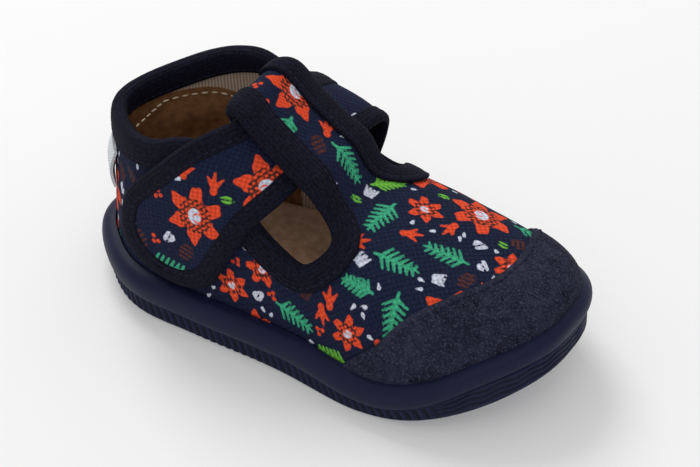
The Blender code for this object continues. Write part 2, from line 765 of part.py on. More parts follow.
def make_cap():
    """Flat triangulation of the toe cap."""
    rear = through([find(-1.0 if y < 0 else 1.0, x, y=y) for x, y in CAP], 20)
    start = rim_angle(-1, CAP_FOOT_OUTER)
    stop = rim_angle(1, CAP_FOOT_INNER)
    angles = np.linspace(stop, start, 400)
    foot = pattern(angles, CAP_FOOT / span(section(angles)))
    foot = spaced(foot, last, 4.0)
    rear = spaced(np.vstack([foot[-1], rear, foot[0]]), last, 4.0)
    loop = np.vstack([foot, rear[1:-1]])
    points = []
    for k, v in enumerate((0.16, 0.32, 0.48, 0.64, 0.8)):
        angles = np.linspace(stop, start, 30 - 4 * k) + 0.03 * (k % 2)
        points.append(pattern(angles, np.full(len(angles), v)))
    points = np.vstack(points)
    points = clear_of(points[inside(points, loop)], [loop], 2.0)
    return triangles([loop], points)


def make_label():
    """Rings up the heel label, a ribbon that stands off the heel between its sewn ends."""
    rows = []
    angle = np.pi - np.radians(LABEL_ANGLE)
    sec = section(np.array([angle]))
    for z in np.linspace(LABEL_LOW, LABEL_HIGH, 7):
        b = (z - sec[2]) / (sec[5] - sec[2])
        v = np.arctan2(b, (1 - b ** sec[6]) ** (1 / sec[6])) / (np.pi / 2)
        at = pattern(angle, v)
        stand = GAP + LABEL_STAND * np.sin(np.pi * (z - LABEL_LOW) / (LABEL_HIGH - LABEL_LOW))
        level = np.cross(frame(at)[3], np.array([0.0, 0.0, 1.0]))
        a = walk(at, level, LABEL_WIDTH / 2)
        b = walk(at, -level, LABEL_WIDTH / 2)
        rows.append(np.vstack([plain_layer(p, o) for p, o in (
            (a, stand), (at, stand), (b, stand), (b, stand + LABEL_THICK), (at, stand + LABEL_THICK),
            (a, stand + LABEL_THICK))]))
    return np.stack(rows)


for old in list(bpy.data.objects):
    bpy.data.objects.remove(old, do_unlink=True)

stack("tread", *make_tread(), (0.013, 0.016, 0.040), 0.6)
stack("sole_band", *make_band(), (0.015, 0.018, 0.045), 0.45)
stack("insole", *make_insole(), (0.30, 0.18, 0.10), 0.8)

flat, tris, tape_path = make_upper()
shell("upper", flat, tris, offset_layer(flat, 0.0), offset_layer(flat, -WALL), (0.02, 0.03, 0.06), 0.9)
sweep("binding", make_tape(tape_path), (0.009, 0.010, 0.020), 0.85)

sweep("strap", make_strap(), (0.02, 0.03, 0.06), 0.9)
sweep("strap_binding", make_strap_tape(), (0.009, 0.010, 0.020), 0.85)

cap_flat, cap_tris = make_cap()
cap_in = plain_layer(cap_flat, np.full(len(cap_flat), GAP))
cap_out = plain_layer(cap_flat, np.full(len(cap_flat), GAP + CAP_THICK))
shell("toe_cap", cap_flat, cap_tris, cap_out, cap_in, (0.03, 0.032, 0.055), 0.95)
sweep("heel_label", make_label(), (0.75, 0.77, 0.80), 0.8)
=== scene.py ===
# %% [markdown]
# # A child's T-bar house slipper
# The imported model already holds the slipper's solids at their true size. This lesson dresses them: it cuts
# finer cloth from the same last, prints it, binds it with tape, sews it, and lays suede and rubber on it.
# Every piece stays where its solid is, so the imported model is loaded first.

# %% Load the imported model
import bpy
import numpy as np
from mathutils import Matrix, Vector
from mathutils.geometry import delaunay_2d_cdt


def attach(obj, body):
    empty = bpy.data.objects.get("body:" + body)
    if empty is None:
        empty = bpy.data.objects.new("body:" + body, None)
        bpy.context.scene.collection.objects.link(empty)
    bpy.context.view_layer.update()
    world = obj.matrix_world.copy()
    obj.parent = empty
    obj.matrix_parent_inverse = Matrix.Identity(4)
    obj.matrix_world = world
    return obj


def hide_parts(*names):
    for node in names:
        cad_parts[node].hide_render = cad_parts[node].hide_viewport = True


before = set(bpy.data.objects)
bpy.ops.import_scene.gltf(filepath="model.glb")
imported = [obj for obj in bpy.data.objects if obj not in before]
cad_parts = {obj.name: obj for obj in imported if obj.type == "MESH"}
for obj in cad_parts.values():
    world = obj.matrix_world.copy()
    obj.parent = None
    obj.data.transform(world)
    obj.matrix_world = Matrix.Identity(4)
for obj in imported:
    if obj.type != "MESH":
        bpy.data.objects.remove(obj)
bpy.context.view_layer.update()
print("nodes:", sorted(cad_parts))

# %% [markdown]
# ## Where the camera stands
# The shoe is seen from its outer side, a third of the way round towards the toe and well above the floor.
# A long lens from 0.9 m keeps the shape from spreading, and the frame is filled by the one shoe. A camera
# object aimed by a direction is enough, and its lens is worked out from the breadth that has to fit.

# %% Camera
SIGHT_TURN = np.radians(30.6)
SIGHT_RISE = np.radians(38.2)
SIGHT_DISTANCE = 0.9
FRAME_BREADTH = 0.1856
SENSOR_WIDTH = 36.0
sight = Vector((np.sin(SIGHT_TURN) * np.cos(SIGHT_RISE), -np.cos(SIGHT_TURN) * np.cos(SIGHT_RISE),
                np.sin(SIGHT_RISE)))
aim = Vector((-0.0035, 0.013, 0.0165))
lens = bpy.data.cameras.new("camera")
lens.sensor_width = SENSOR_WIDTH
lens.lens = SENSOR_WIDTH * SIGHT_DISTANCE / FRAME_BREADTH
camera = bpy.data.objects.new("camera", lens)
camera.location = sight * SIGHT_DISTANCE
camera.rotation_euler = (aim - camera.location).to_track_quat("-Z", "Y").to_euler()
bpy.context.scene.collection.objects.link(camera)
bpy.context.scene.camera = camera
print("lens", round(lens.lens, 1), "mm")

# %% [markdown]
# ## Floor and light
# A pale floor under an even white sky gives the soft look of a catalogue picture, and the floor glows a
# little as painted light that lifts its shadows. One broad lamp behind the heel shapes the toe and leaves
# a soft shadow in front of the sole, and a weaker one fills the near side. A closed studio would do as
# well, but a plain sheet and a sky render faster and leave no walls in the picture.

# %% Floor, sky and lamps
WHITE = (1.0, 1.0, 1.0, 1.0)
SKY_STRENGTH = 0.62
FLOOR_TONE, FLOOR_GLOW, FLOOR_REACH, FLOOR_DROP = 0.7, 0.2, 3.0, 1e-4
scene = bpy.context.scene
scene.view_settings.view_transform = "Standard"
sky = bpy.data.worlds.new("studio")
sky.use_nodes = True
sky_light = sky.node_tree.nodes["Background"].inputs
sky_light["Color"].default_value = WHITE
sky_light["Strength"].default_value = SKY_STRENGTH
scene.world = sky


def lamp(name, place, size, power):
    data = bpy.data.lights.new(name, "AREA")
    data.shape = "DISK"
    data.size = size
    data.energy = power
    obj = bpy.data.objects.new(name, data)
    obj.location = place
    obj.rotation_euler = (-Vector(place)).to_track_quat("-Z", "Y").to_euler()
    scene.collection.objects.link(obj)


lamp("top_lamp", (-0.70, 0.50, 1.04), 0.7, 8.4)
lamp("front_lamp", (0.5, -0.9, 1.0), 0.9, 2.2)

floor_paint = bpy.data.materials.new("floor")
floor_paint.use_nodes = True
floor_inputs = floor_paint.node_tree.nodes["Principled BSDF"].inputs
floor_inputs["Base Color"].default_value = (FLOOR_TONE, FLOOR_TONE, FLOOR_TONE, 1.0)
floor_inputs["Roughness"].default_value = 0.8
floor_inputs["Emission Color"].default_value = WHITE
# painted light: the floor glows a little so that the shadows on it come out lighter
floor_inputs["Emission Strength"].default_value = FLOOR_GLOW
floor_mesh = bpy.data.meshes.new("floor")
floor_signs = ((-1, -1), (1, -1), (1, 1), (-1, 1))
floor_corners = [(x * FLOOR_REACH, y * FLOOR_REACH, -FLOOR_DROP) for x, y in floor_signs]
floor_mesh.from_pydata(floor_corners, [], [(0, 1, 2, 3)])
floor_mesh.materials.append(floor_paint)
floor = bpy.data.objects.new("floor", floor_mesh)
scene.collection.objects.link(floor)

# %% [markdown]
# ## The last
# A shoe is made over a last, the solid foot form. Here the last is a round of profiles: each starts on
# the sole's rim and curves up to a ridge over the middle of the foot. The tables give its sizes in
# millimetres, and they are the same ones the solids were made from, so the cloth lands on its solid
# without fitting.

# %% Sizes of the sole and the last
MM = 0.001
LENGTH = 140.0
OUTLINE = np.array([
    # share of the length, half breadth on the outer side, on the inner side
    [0.00, 26.5, 26.5],
    [0.12, 33.4, 32.2],
    [0.30, 31.4, 31.0],
    [0.50, 31.6, 32.0],
    [0.68, 36.2, 35.9],
    [0.84, 38.3, 38.1],
    [1.00, 31.6, 36.4],
])
HEEL_ROUND, TOE_ROUND = 2.37, 2.58
SPRING, SPRING_FROM, SPRING_POWER = 16.2, 20.0, 2.0
ARCH, ARCH_FROM, ARCH_TO = 1.3, -34.0, 2.0
RIM_HEIGHT, RIM_SPRING_SHARE = 13.8, 0.85
LAST_STEP_IN, RIDGE_DRAW = 4.2, 0.25
SEAM_RISE = np.array([
    # x, rise
    [-70.0, 0.0],
    [-40.0, 0.0],
    [-20.0, 0.0],
    [-5.0, 0.0],
    [7.0, -0.1],
    [20.0, -1.1],
    [33.0, -2.0],
    [43.0, -0.6],
    [53.0, 1.9],
    [61.0, 2.1],
    [70.0, 1.4],
])
RIDGE = np.array([
    # x, height, squareness, y
    [-49.0, 102.0, 2.1, 0.0],
    [-40.0, 86.0, 2.5, 0.0],
    [-30.0, 71.0, 3.1, 0.0],
    [-21.0, 60.5, 3.3, 0.0],
    [-12.0, 53.5, 3.1, 0.0],
    [-2.0, 47.5, 2.8, 0.0],
    [10.0, 43.2, 2.6, 0.3],
    [25.0, 39.8, 2.5, 0.8],
    [38.0, 36.2, 2.4, 0.8],
    [49.0, 32.4, 2.3, 0.0],
])
print("sole", LENGTH, "mm long,", len(RIDGE), "ridge stations")


# %% Fair curves and the sole's outline
def faired(rows, column, at):
    """Smooth value of a table column at places in its first column."""
    xs, ys = rows[:, 0], rows[:, column]
    slope = np.gradient(ys, xs)
    at = np.clip(np.asarray(at, float), xs[0], xs[-1])
    i = np.clip(np.searchsorted(xs, at) - 1, 0, len(xs) - 2)
    h = xs[i + 1] - xs[i]
    t = (at - xs[i]) / h
    return ((2 * t**3 - 3 * t**2 + 1) * ys[i] + (t**3 - 2 * t**2 + t) * h * slope[i]
            + (3 * t**2 - 2 * t**3) * ys[i + 1] + (t**3 - t**2) * h * slope[i + 1])


def ease(t):
    """Smooth step from 0 to 1."""
    t = np.clip(t, 0.0, 1.0)
    return t * t * t * (t * (6 * t - 15) + 10)


def toe_spring(x):
    return SPRING * np.clip((x - SPRING_FROM) / (LENGTH / 2 - SPRING_FROM), 0.0, None) ** SPRING_POWER


def seam_rise(x):
    """The seam between tread and band dips beside the ball and climbs round the toe."""
    return faired(SEAM_RISE, 1, x)


def band_outline(angle):
    """Outline of the sole: angle 0 at the toe, a quarter turn on the outer side, half a turn at the heel."""
    c, s = np.cos(angle), np.sin(angle)
    n = np.where(c > 0, TOE_ROUND, HEEL_ROUND)
    rho = (np.abs(c) ** n + np.abs(s) ** n) ** (1 / n)
    share = (c / rho + 1) / 2
    half = np.where(s >= 0, faired(OUTLINE, 1, share), faired(OUTLINE, 2, share))
    return LENGTH / 2 * c / rho, -half * s / rho


def stepped_outline(angle, step_in):
    """The outline moved in along its own normal."""
    h = 2e-3
    x, y = band_outline(angle)
    xa, ya = band_outline(angle - h)
    xb, yb = band_outline(angle + h)
    tx, ty = xb - xa, yb - ya
    size = np.hypot(tx, ty)
    return x + ty / size * step_in, y - tx / size * step_in


def even_angles(count, step_in):
    """Angles that lie at equal distances along the outline, and the outline's length."""
    dense = np.linspace(0, 2 * np.pi, 2881)
    x, y = stepped_outline(dense, step_in)
    run = np.concatenate([[0], np.cumsum(np.hypot(np.diff(x), np.diff(y)))])
    return np.interp(np.linspace(0, run[-1], count, endpoint=False), run, dense), run[-1]


print("round of the sole", round(even_angles(10, 0.0)[1]), "mm")


# %% Profiles of the last
def full_profile(angle):
    """Foot on the rim, ridge point and squareness of the profile at an angle."""
    px, py = stepped_outline(angle, LAST_STEP_IN)
    xr = px * (1 - RIDGE_DRAW * np.abs(px / (LENGTH / 2 - LAST_STEP_IN)) ** 3)
    zf = RIM_HEIGHT + RIM_SPRING_SHARE * toe_spring(px) + seam_rise(px)
    return px, py, zf, xr, faired(RIDGE, 3, xr), faired(RIDGE, 1, xr), faired(RIDGE, 2, xr)


PROFILE_ANGLES = np.linspace(-np.pi - 0.1, np.pi + 0.1, 6001)
PROFILES = full_profile(PROFILE_ANGLES)


def profile(angle):
    return [np.interp(angle, PROFILE_ANGLES, column) for column in PROFILES]


def profile_length(sec):
    px, py, zf, xr, yr, zr, m = sec
    reach = np.hypot(xr - px, yr - py)
    tau = np.linspace(0, np.pi / 2, 13)[:, None]
    rho = (np.cos(tau) ** m + np.sin(tau) ** m) ** (1 / m)
    flat, rise = reach * np.cos(tau) / rho, (zr - zf) * np.sin(tau) / rho
    return np.hypot(np.diff(flat, axis=0), np.diff(rise, axis=0)).sum(0)


def on_profile(sec, level):
    """Point of a profile: level 0 on the rim, 1 on the ridge, below 0 down inside the sole."""
    px, py, zf, xr, yr, zr, m = sec
    tau = np.clip(level, 0.0, 1.0) * np.pi / 2
    rho = (np.cos(tau) ** m + np.sin(tau) ** m) ** (1 / m)
    a, b = 1 - np.cos(tau) / rho, np.sin(tau) / rho
    drop = np.minimum(level, 0.0) * profile_length(sec)
    return np.stack([px + (xr - px) * a, py + (yr - py) * a, zf + (zr - zf) * b + drop], -1)


print("instep", round(float(faired(RIDGE, 1, 0.0)), 1), "mm above the floor")

# %% [markdown]
# ## The flat pattern
# Cloth is cut flat before it is sewn. Each profile is laid out at its full length round the ridge, which
# turns the last into a flat pattern. Openings, tapes and prints are drawn on the pattern and then carried
# back. Cutting a finished mesh on the curved last would leave ragged borders; on the pattern a cut is a
# plain line.

# %% From the pattern to the last and back
def pattern_of(angle, level):
    sec = profile(np.atleast_1d(np.asarray(angle, float)))
    px, py, _, xr, yr, _, _ = sec
    reach = np.hypot(px - xr, py - yr)
    far = (1 - level) * profile_length(sec)
    return np.stack([xr + (px - xr) / reach * far, yr + (py - yr) / reach * far], -1)


def locate(xy):
    """Profile and level of pattern places, found by halving the angle."""
    x, y = xy[:, 0], xy[:, 1]
    side = np.where(y > faired(RIDGE, 3, x), -1.0, 1.0)
    low, high = np.zeros(len(x)), np.full(len(x), np.pi)
    for _ in range(34):
        mid = (low + high) / 2
        px, py, xr, yr = [np.interp(mid * side, PROFILE_ANGLES, PROFILES[k]) for k in (0, 1, 3, 4)]
        turn = ((px - xr) * (y - yr) - (py - yr) * (x - xr)) * side
        low = np.where(turn < 0, mid, low)
        high = np.where(turn < 0, high, mid)
    angle = (low + high) / 2 * side
    sec = profile(angle)
    return angle, sec, 1 - np.hypot(x - sec[3], y - sec[4]) / profile_length(sec)


def last(xy):
    _, sec, level = locate(np.atleast_2d(np.asarray(xy, float)))
    return on_profile(sec, level)


print("pattern place 30, 10 lies at", np.round(last((30.0, 10.0))[0], 1))


# %% Directions and distances on the last
def unit(v):
    return v / np.linalg.norm(v, axis=1, keepdims=True)


def tangents(xy):
    """Place on the last, the two pattern directions there, and the outward normal."""
    xy = np.atleast_2d(np.asarray(xy, float))
    h = 0.08
    gx = (last(xy + [h, 0]) - last(xy - [h, 0])) / (2 * h)
    gy = (last(xy + [0, h]) - last(xy - [0, h])) / (2 * h)
    return last(xy), gx, gy, unit(np.cross(gx, gy))


def walk(xy, direction, distance, steps=4):
    """Pattern places reached by going a true distance over the last."""
    xy = np.array(xy, float)
    part = np.broadcast_to(np.asarray(distance, float) / steps, (len(xy),))
    for _ in range(steps):
        _, gx, gy, n = tangents(xy)
        d = unit(direction - (direction * n).sum(1, keepdims=True) * n)
        aa, ab, bb = (gx * gx).sum(1), (gx * gy).sum(1), (gy * gy).sum(1)
        da, db = (gx * d).sum(1), (gy * d).sum(1)
        det = aa * bb - ab * ab
        xy = xy + np.stack([(bb * da - ab * db) / det, (aa * db - ab * da) / det], -1) * part[:, None]
    return xy


def find(side, x, z=None, y=None):
    """Pattern place on one side of the last (outer -1, inner +1) from x and z, or x and y."""
    low, high = 0.0, np.pi
    for _ in range(40):
        angle = (low + high) / 2
        px, py, zf, xr, yr, zr, m = [float(s[0]) for s in profile(np.array([-side * angle]))]
        if z is not None:
            b = min(max((z - zf) / (zr - zf), 0.0), 1.0)
            c = (1 - b**m) ** (1 / m)
        else:
            c = min(max((y - yr) / (py - yr), 0.0), 1.0)
            b = (1 - c**m) ** (1 / m)
        low, high = (angle, high) if xr + (px - xr) * c > x else (low, angle)
    return pattern_of(-side * angle, np.arctan2(b, c) / (np.pi / 2))[0]


print("test place", np.round(last(find(-1, 0.0, z=30.0))[0], 2))


# %% Curves on the pattern
def run_along(points):
    """Distance of each point from the first, along the line of points."""
    return np.concatenate([[0], np.cumsum(np.linalg.norm(np.diff(points, axis=0), axis=1))])


def through(points, count=14):
    """Smooth curve through pattern points."""
    p = np.asarray(points, float)
    t = np.concatenate([[0], np.cumsum(np.sqrt(np.linalg.norm(np.diff(p, axis=0), axis=1)))])
    parts = [np.linspace(t[i], t[i + 1], count, endpoint=False) for i in range(len(p) - 1)]
    at = np.concatenate(parts + [[t[-1]]])
    rows = np.column_stack([t, p])
    return np.column_stack([faired(rows, 1 + k, at) for k in range(p.shape[1])])


def spaced(path, place, step):
    """Points along a curve at about equal true distances."""
    run = run_along(place(path))
    at = np.linspace(0, run[-1], max(2, int(round(run[-1] / step)) + 1))
    return np.column_stack([np.interp(at, run, path[:, k]) for k in range(2)])


def across_path(path, step):
    """Directions square to a path on the last, from the steps the path takes on the pattern."""
    _, gx, gy, n = tangents(path)
    return np.cross(n, unit(gx * step[:, 0:1] + gy * step[:, 1:2]))


def into_wall(path):
    """Directions that lead from the topline into the wall."""
    return across_path(path, np.gradient(path, axis=0))


print("a curve through three places has", len(through([(0, 0), (5, 2), (9, 0)])), "points")

# %% [markdown]
# ## Topline, T-bar and the fold
# The wall's edge runs round the heel, dips down each side into an opening, and comes back up the T-bar.
# The T-bar climbs over the strap, turns round a loop and returns under it, so the wall needs a rule of
# its own there: it is lifted off the last, then rolled round a small cylinder. Bending a finished strip
# with a modifier would squeeze its thickness, and the rule keeps it.

# %% Sizes of the upper
WALL, SKIRT = 1.6, 4.8
COLLAR = np.array([
    # x, then the height of the edge on the outer and the inner side
    [-64.0, 49.4, 49.4],
    [-57.0, 50.2, 52.2],
    [-49.0, 51.6, 55.6],
    [-41.0, 53.6, 58.4],
    [-34.0, 56.6, 59.6],
    [-28.5, 57.0, 58.0],
    [-22.5, 52.8, 53.0],
    [-16.5, 46.4, 47.4],
    [-10.0, 40.2, 41.6],
    [-3.0, 35.3, 36.6],
    [4.6, 32.9, 34.0],
])
T_BAR = np.array([
    # x, half breadth on the outer and the inner side
    [10.0, 21.2, 19.0],
    [10.2, 17.8, 15.0],
    [7.2, 14.9, 12.0],
    [1.0, 13.7, 10.3],
    [-8.0, 13.2, 10.0],
    [-16.0, 13.0, 10.2],
    [-21.0, 12.9, 10.6],
])
T_LIFT, T_CLIMB_FROM, T_CLIMB_TO = 7.0, 11.0, -3.0
T_FOLD, T_RETURN, T_MASK, T_FADE = -22.4, 13.0, 22.9, 2.6
T_ROUND = T_LIFT / 2
TAPE_WIDTH, TAPE_MIDDLE, EDGE_STEP = 6.3, 0.7, 1.1
FOLD_TURNS = T_ROUND * np.radians(np.arange(10, 181, 10))
FOLD_STEPS = np.concatenate([FOLD_TURNS, np.pi * T_ROUND + np.linspace(0, T_RETURN, 12)[1:]])
print("wall", WALL, "mm thick, T-bar lifted", T_LIFT, "mm")


# %% The wall
def upper_wall(xy, off):
    """Point at a distance outside the upper's outer face."""
    xy = np.atleast_2d(np.asarray(xy, float))
    off = np.broadcast_to(np.asarray(off, float), (len(xy),))
    bar = (1 - ease((np.abs(xy[:, 1]) - T_MASK) / T_FADE)) * (np.abs(xy[:, 0] + 25) < 40)
    behind = np.where(bar > 0.5, np.clip(T_FOLD - xy[:, 0], 0.0, None), 0.0)
    turn = np.clip(behind / T_ROUND, 0.0, np.pi)
    back = np.clip(behind - np.pi * T_ROUND, 0.0, None)
    base = xy.copy()
    base[:, 0] = np.where(behind > 0, T_FOLD + back, xy[:, 0])
    p, gx, _, n = tangents(base)
    rear = unit(-gx)
    climb = T_LIFT * ease((T_CLIMB_FROM - xy[:, 0]) / (T_CLIMB_FROM - T_CLIMB_TO)) * bar
    height = np.where(behind > 0, T_LIFT / 2 - WALL / 2 + T_ROUND * np.cos(turn), climb - WALL / 2)
    facing = n * np.cos(turn)[:, None] + rear * np.sin(turn)[:, None]
    middle = p + n * height[:, None] + rear * (T_ROUND * np.sin(turn))[:, None]
    return middle + facing * (off + WALL / 2)[:, None]


def on_last(xy, off):
    """Point at a distance outside the last."""
    p, _, _, n = tangents(xy)
    return p + n * np.asarray(off, float).reshape(-1, 1)


print("wall over the toes:", np.round(upper_wall((30.0, 10.0), 0.0)[0], 1))


# %% Where the wall's edge runs
def topline(side):
    """Edge of one side on the pattern, from the middle of the heel to the T-bar's fold."""
    column = 1 if side < 0 else 2
    rise = COLLAR[:, [0, column]]
    px, _, zf, xr, _, zr, m = profile(np.pi)
    heel = xr + (px - xr) * (1 - ((rise[0, 1] - zf) / (zr - zf)) ** m) ** (1 / m)
    xs = heel + (COLLAR[-3, 0] - heel) * np.linspace(0, 1, 40) ** 2
    points = [find(side, x, z=float(faired(rise, 1, x))) for x in xs]
    points[0][1] = 0.0
    points += [find(side, x, z=z) for x, z in rise[-2:]]
    points += [find(side, row[0], y=side * row[column]) for row in T_BAR]
    points.append(np.array([T_FOLD, points[-1][1]]))
    return through(points)


def round_fold(row, steps):
    """Pattern places that carry both ends of a row on round the T-bar's fold."""
    start = np.column_stack([T_FOLD - steps[::-1], np.full(len(steps), row[0, 1])])
    stop = np.column_stack([T_FOLD - steps, np.full(len(steps), row[-1, 1])])
    return start, stop


TOPLINE_OUTER, TOPLINE_INNER = topline(-1), topline(1)


def tape_middle(side):
    """Rule that carries an edge to the middle of its tape, where the stations are spaced evenly."""
    return lambda p: last(walk(p, side * into_wall(p), TAPE_WIDTH * TAPE_MIDDLE, 2))


def edge_path(step):
    """The whole edge from the T-bar's outer side round the heel to its inner side."""
    a = spaced(TOPLINE_OUTER, tape_middle(-1), step)
    b = spaced(TOPLINE_INNER, tape_middle(1), step)
    return np.vstack([a[::-1], b[1:]])


EDGE = edge_path(EDGE_STEP)
print("edge of the upper:", len(EDGE), "stations")

# %% [markdown]
# ## Turning points into pieces
# Every piece becomes a plain mesh at the origin, with its place in its points. A map in millimetres
# travels with it for weaves and stitches, and named marks on its points carry printed colours. Primitives
# and modifiers would be shorter to write, but every surface here follows the last, so points and faces
# are handed to Blender directly.

# %% Mesh helpers
def piece(name, points, faces, materials, uv=None, marks=None, chosen=None, keen=None):
    """Mesh object from points in millimetres. chosen gives each face its material."""
    mesh = bpy.data.meshes.new(name)
    mesh.from_pydata((np.asarray(points, float) * MM).tolist(), [], [[int(i) for i in f] for f in faces])
    for material in materials:
        mesh.materials.append(material)
    if chosen is not None:
        mesh.polygons.foreach_set("material_index", np.asarray(chosen, np.int32))
    if uv is not None:
        corner = np.zeros(len(mesh.loops), np.int32)
        mesh.loops.foreach_get("vertex_index", corner)
        mesh.uv_layers.new(name="cloth").data.foreach_set("uv", np.asarray(uv, np.float32)[corner].ravel())
    for label, values in (marks or {}).items():
        mesh.attributes.new(label, "FLOAT", "POINT").data.foreach_set("value", np.asarray(values, np.float32))
    mesh.update()
    mesh.shade_smooth()
    if keen is not None:
        mesh.set_sharp_from_angle(angle=np.radians(keen))
    obj = bpy.data.objects.new(name, mesh)
    scene.collection.objects.link(obj)
    print(name, len(mesh.polygons), "faces")
    return obj


def belongs(obj, slot, *nodes):
    """Parents a finished piece to the shoe's one body and hides the solids it stands for; slot is not used.
    """
    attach(obj, "root")
    if nodes:
        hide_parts(*nodes)


def swept(rings):
    """Points and outward faces between rings of equal count, with a cap at each end."""
    count, size = rings.shape[:2]
    faces = []
    for i in range(0, (count - 1) * size, size):
        for k in range(size):
            m = (k + 1) % size
            faces.append((i + k, i + m, i + size + m, i + size + k))
    faces += [tuple(range(size))[::-1], tuple((count - 1) * size + k for k in range(size))]
    points = rings.reshape(-1, 3)
    a, b, c = (points[[f[k] for f in faces]] for k in range(3))
    if np.einsum("ij,ij->", a, np.cross(b, c)) < 0:
        faces = [f[::-1] for f in faces]
    return points, faces


def ring_map(rings):
    """Map of a sweep: along it and round it, in millimetres."""
    along = run_along(rings.mean(1))
    step = np.linalg.norm(np.diff(rings, axis=1), axis=2)
    across = np.concatenate([np.zeros((len(rings), 1)), np.cumsum(step, axis=1)], axis=1)
    return np.stack([np.broadcast_to(along[:, None], across.shape), across], -1).reshape(-1, 2)


print("meshes before the first piece:", len(bpy.data.meshes))


# %% Points for a cut
ROW_SHARE, CLOTH_STEP = 0.866, 1.25


def inside(points, loop):
    """Which points lie inside a loop."""
    x, y = points[:, 0:1], points[:, 1:2]
    ax, ay = loop[:, 0], loop[:, 1]
    bx, by = np.roll(ax, -1), np.roll(ay, -1)
    with np.errstate(divide="ignore", invalid="ignore"):
        hit = x < (bx - ax) * (y - ay) / (by - ay) + ax
    return (((ay > y) != (by > y)) & hit).sum(1) % 2 == 1


def clear_of(points, loops, distance):
    """The points that keep a distance from the loops."""
    keep = np.ones(len(points), bool)
    for loop in loops:
        for share in (0.0, 0.5):
            along = loop + share * (np.roll(loop, -1, axis=0) - loop)
            for part in np.array_split(np.arange(len(points)), max(1, len(points) // 2000)):
                keep[part] &= np.linalg.norm(points[part, None] - along[None], axis=2).min(1) > distance
    return points[keep]


def even_spread(low, high, step):
    """Points of a triangular grid over a rectangle of the pattern."""
    xs = np.arange(low[0], high[0], step)
    ys = np.arange(low[1], high[1], step * ROW_SHARE)
    x, y = np.meshgrid(xs, ys)
    x = x + (np.arange(len(ys)) % 2)[:, None] * step / 2
    return np.column_stack([x.ravel(), y.ravel()])


print("a square of 10 mm takes", len(even_spread((0, 0), (10, 10), CLOTH_STEP)), "points")


# %% Cutting cloth on the pattern
def cut_cloth(loops, points):
    """Triangles inside the first loop and outside the others."""
    corners = np.vstack(list(loops) + [points])
    edges, start = [], 0
    for loop in loops:
        edges += [(start + i, start + (i + 1) % len(loop)) for i in range(len(loop))]
        start += len(loop)
    out = delaunay_2d_cdt([Vector(v) for v in corners], edges, [], 1, 1e-6, True)
    flat = np.array([tuple(v) for v in out[0]])
    tris = np.array([tuple(t) for t in out[2]])
    centre = flat[tris].mean(1)
    keep = inside(centre, loops[0])
    for hole in loops[1:]:
        keep &= ~inside(centre, hole)
    tris = tris[keep]
    a, b, c = (flat[tris[:, k]] for k in range(3))
    turn = (b[:, 0] - a[:, 0]) * (c[:, 1] - a[:, 1]) - (b[:, 1] - a[:, 1]) * (c[:, 0] - a[:, 0])
    tris[turn < 0] = tris[turn < 0][:, ::-1]
    used, where = np.unique(tris, return_inverse=True)
    return flat[used], where.reshape(-1, 3)


def halve(flat, tris):
    """Splits every triangle into four; returns the new points, triangles and the middle of each edge."""
    edges = np.sort(np.vstack([tris[:, [0, 1]], tris[:, [1, 2]], tris[:, [2, 0]]]), axis=1)
    pairs, where = np.unique(edges, axis=0, return_inverse=True)
    middle = len(flat) + where.reshape(3, -1)
    fine = np.vstack([flat, flat[pairs].mean(1)])
    a, b, c = tris[:, 0], tris[:, 1], tris[:, 2]
    ab, bc, ca = middle
    small = np.vstack([np.stack(t, 1) for t in ((a, ab, ca), (ab, b, bc), (ca, bc, c), (ab, bc, ca))])
    return fine, small, {tuple(p): len(flat) + i for i, p in enumerate(pairs.tolist())}


def rims(tris):
    """Border edges of a triangulation, in the direction of their triangles."""
    directed = {(int(t[k]), int(t[(k + 1) % 3])) for t in tris for k in range(3)}
    return [e for e in directed if (e[1], e[0]) not in directed]


square = np.array([(0.0, 0.0), (9.0, 0.0), (9.0, 9.0), (0.0, 9.0)])
print("a square is cut into", len(cut_cloth([square], square.mean(0)[None])[1]), "triangles")

# %% [markdown]
# ## Finishes that several pieces share
# Canvas, tape and suede each have one small effect that returns on more than one piece: a weave, a rib or
# a nap. It could be built again in every material, but then a change would have to be made often. Each is
# a node group that hands out colours, masks or heights, and the material decides what to do with them.

# %% Node helpers
def srgb(red, green, blue):
    """Colour from display values 0 to 255."""
    c = np.array([red, green, blue]) / 255
    c = np.where(c <= 0.04045, c / 12.92, ((c + 0.055) / 1.055) ** 2.4)
    return (float(c[0]), float(c[1]), float(c[2]), 1.0)


def feed(tree, socket, value):
    """Links a socket's output to an input, or sets a plain value on it."""
    if isinstance(value, bpy.types.NodeSocket):
        tree.links.new(value, socket)
    else:
        socket.default_value = value


def calc(tree, operation, *values, clamp=False):
    node = tree.nodes.new("ShaderNodeMath")
    node.operation = operation
    node.use_clamp = clamp
    for socket, value in zip(node.inputs, values):
        feed(tree, socket, value)
    return node.outputs[0]


def blend(tree, factor, first, second, mode="MIX"):
    node = tree.nodes.new("ShaderNodeMix")
    node.data_type = "RGBA"
    node.blend_type = mode
    for socket, value in ((node.inputs[0], factor), (node.inputs[6], first), (node.inputs[7], second)):
        feed(tree, socket, value)
    return node.outputs[2]


def parts_of(tree, vector):
    node = tree.nodes.new("ShaderNodeSeparateXYZ")
    tree.links.new(vector, node.inputs[0])
    return node.outputs


def noise(tree, place, scale, detail):
    node = tree.nodes.new("ShaderNodeTexNoise")
    tree.links.new(place, node.inputs["Vector"])
    node.inputs["Scale"].default_value = scale
    node.inputs["Detail"].default_value = detail
    return node.outputs["Fac"]


def effect(name, takes, gives):
    """Empty node group with named inputs and outputs."""
    tree = bpy.data.node_groups.new(name, "ShaderNodeTree")
    for label, kind in takes:
        tree.interface.new_socket(label, in_out="INPUT", socket_type="NodeSocket" + kind)
    for label, kind in gives:
        tree.interface.new_socket(label, in_out="OUTPUT", socket_type="NodeSocket" + kind)
    return tree, tree.nodes.new("NodeGroupInput").outputs, tree.nodes.new("NodeGroupOutput").inputs


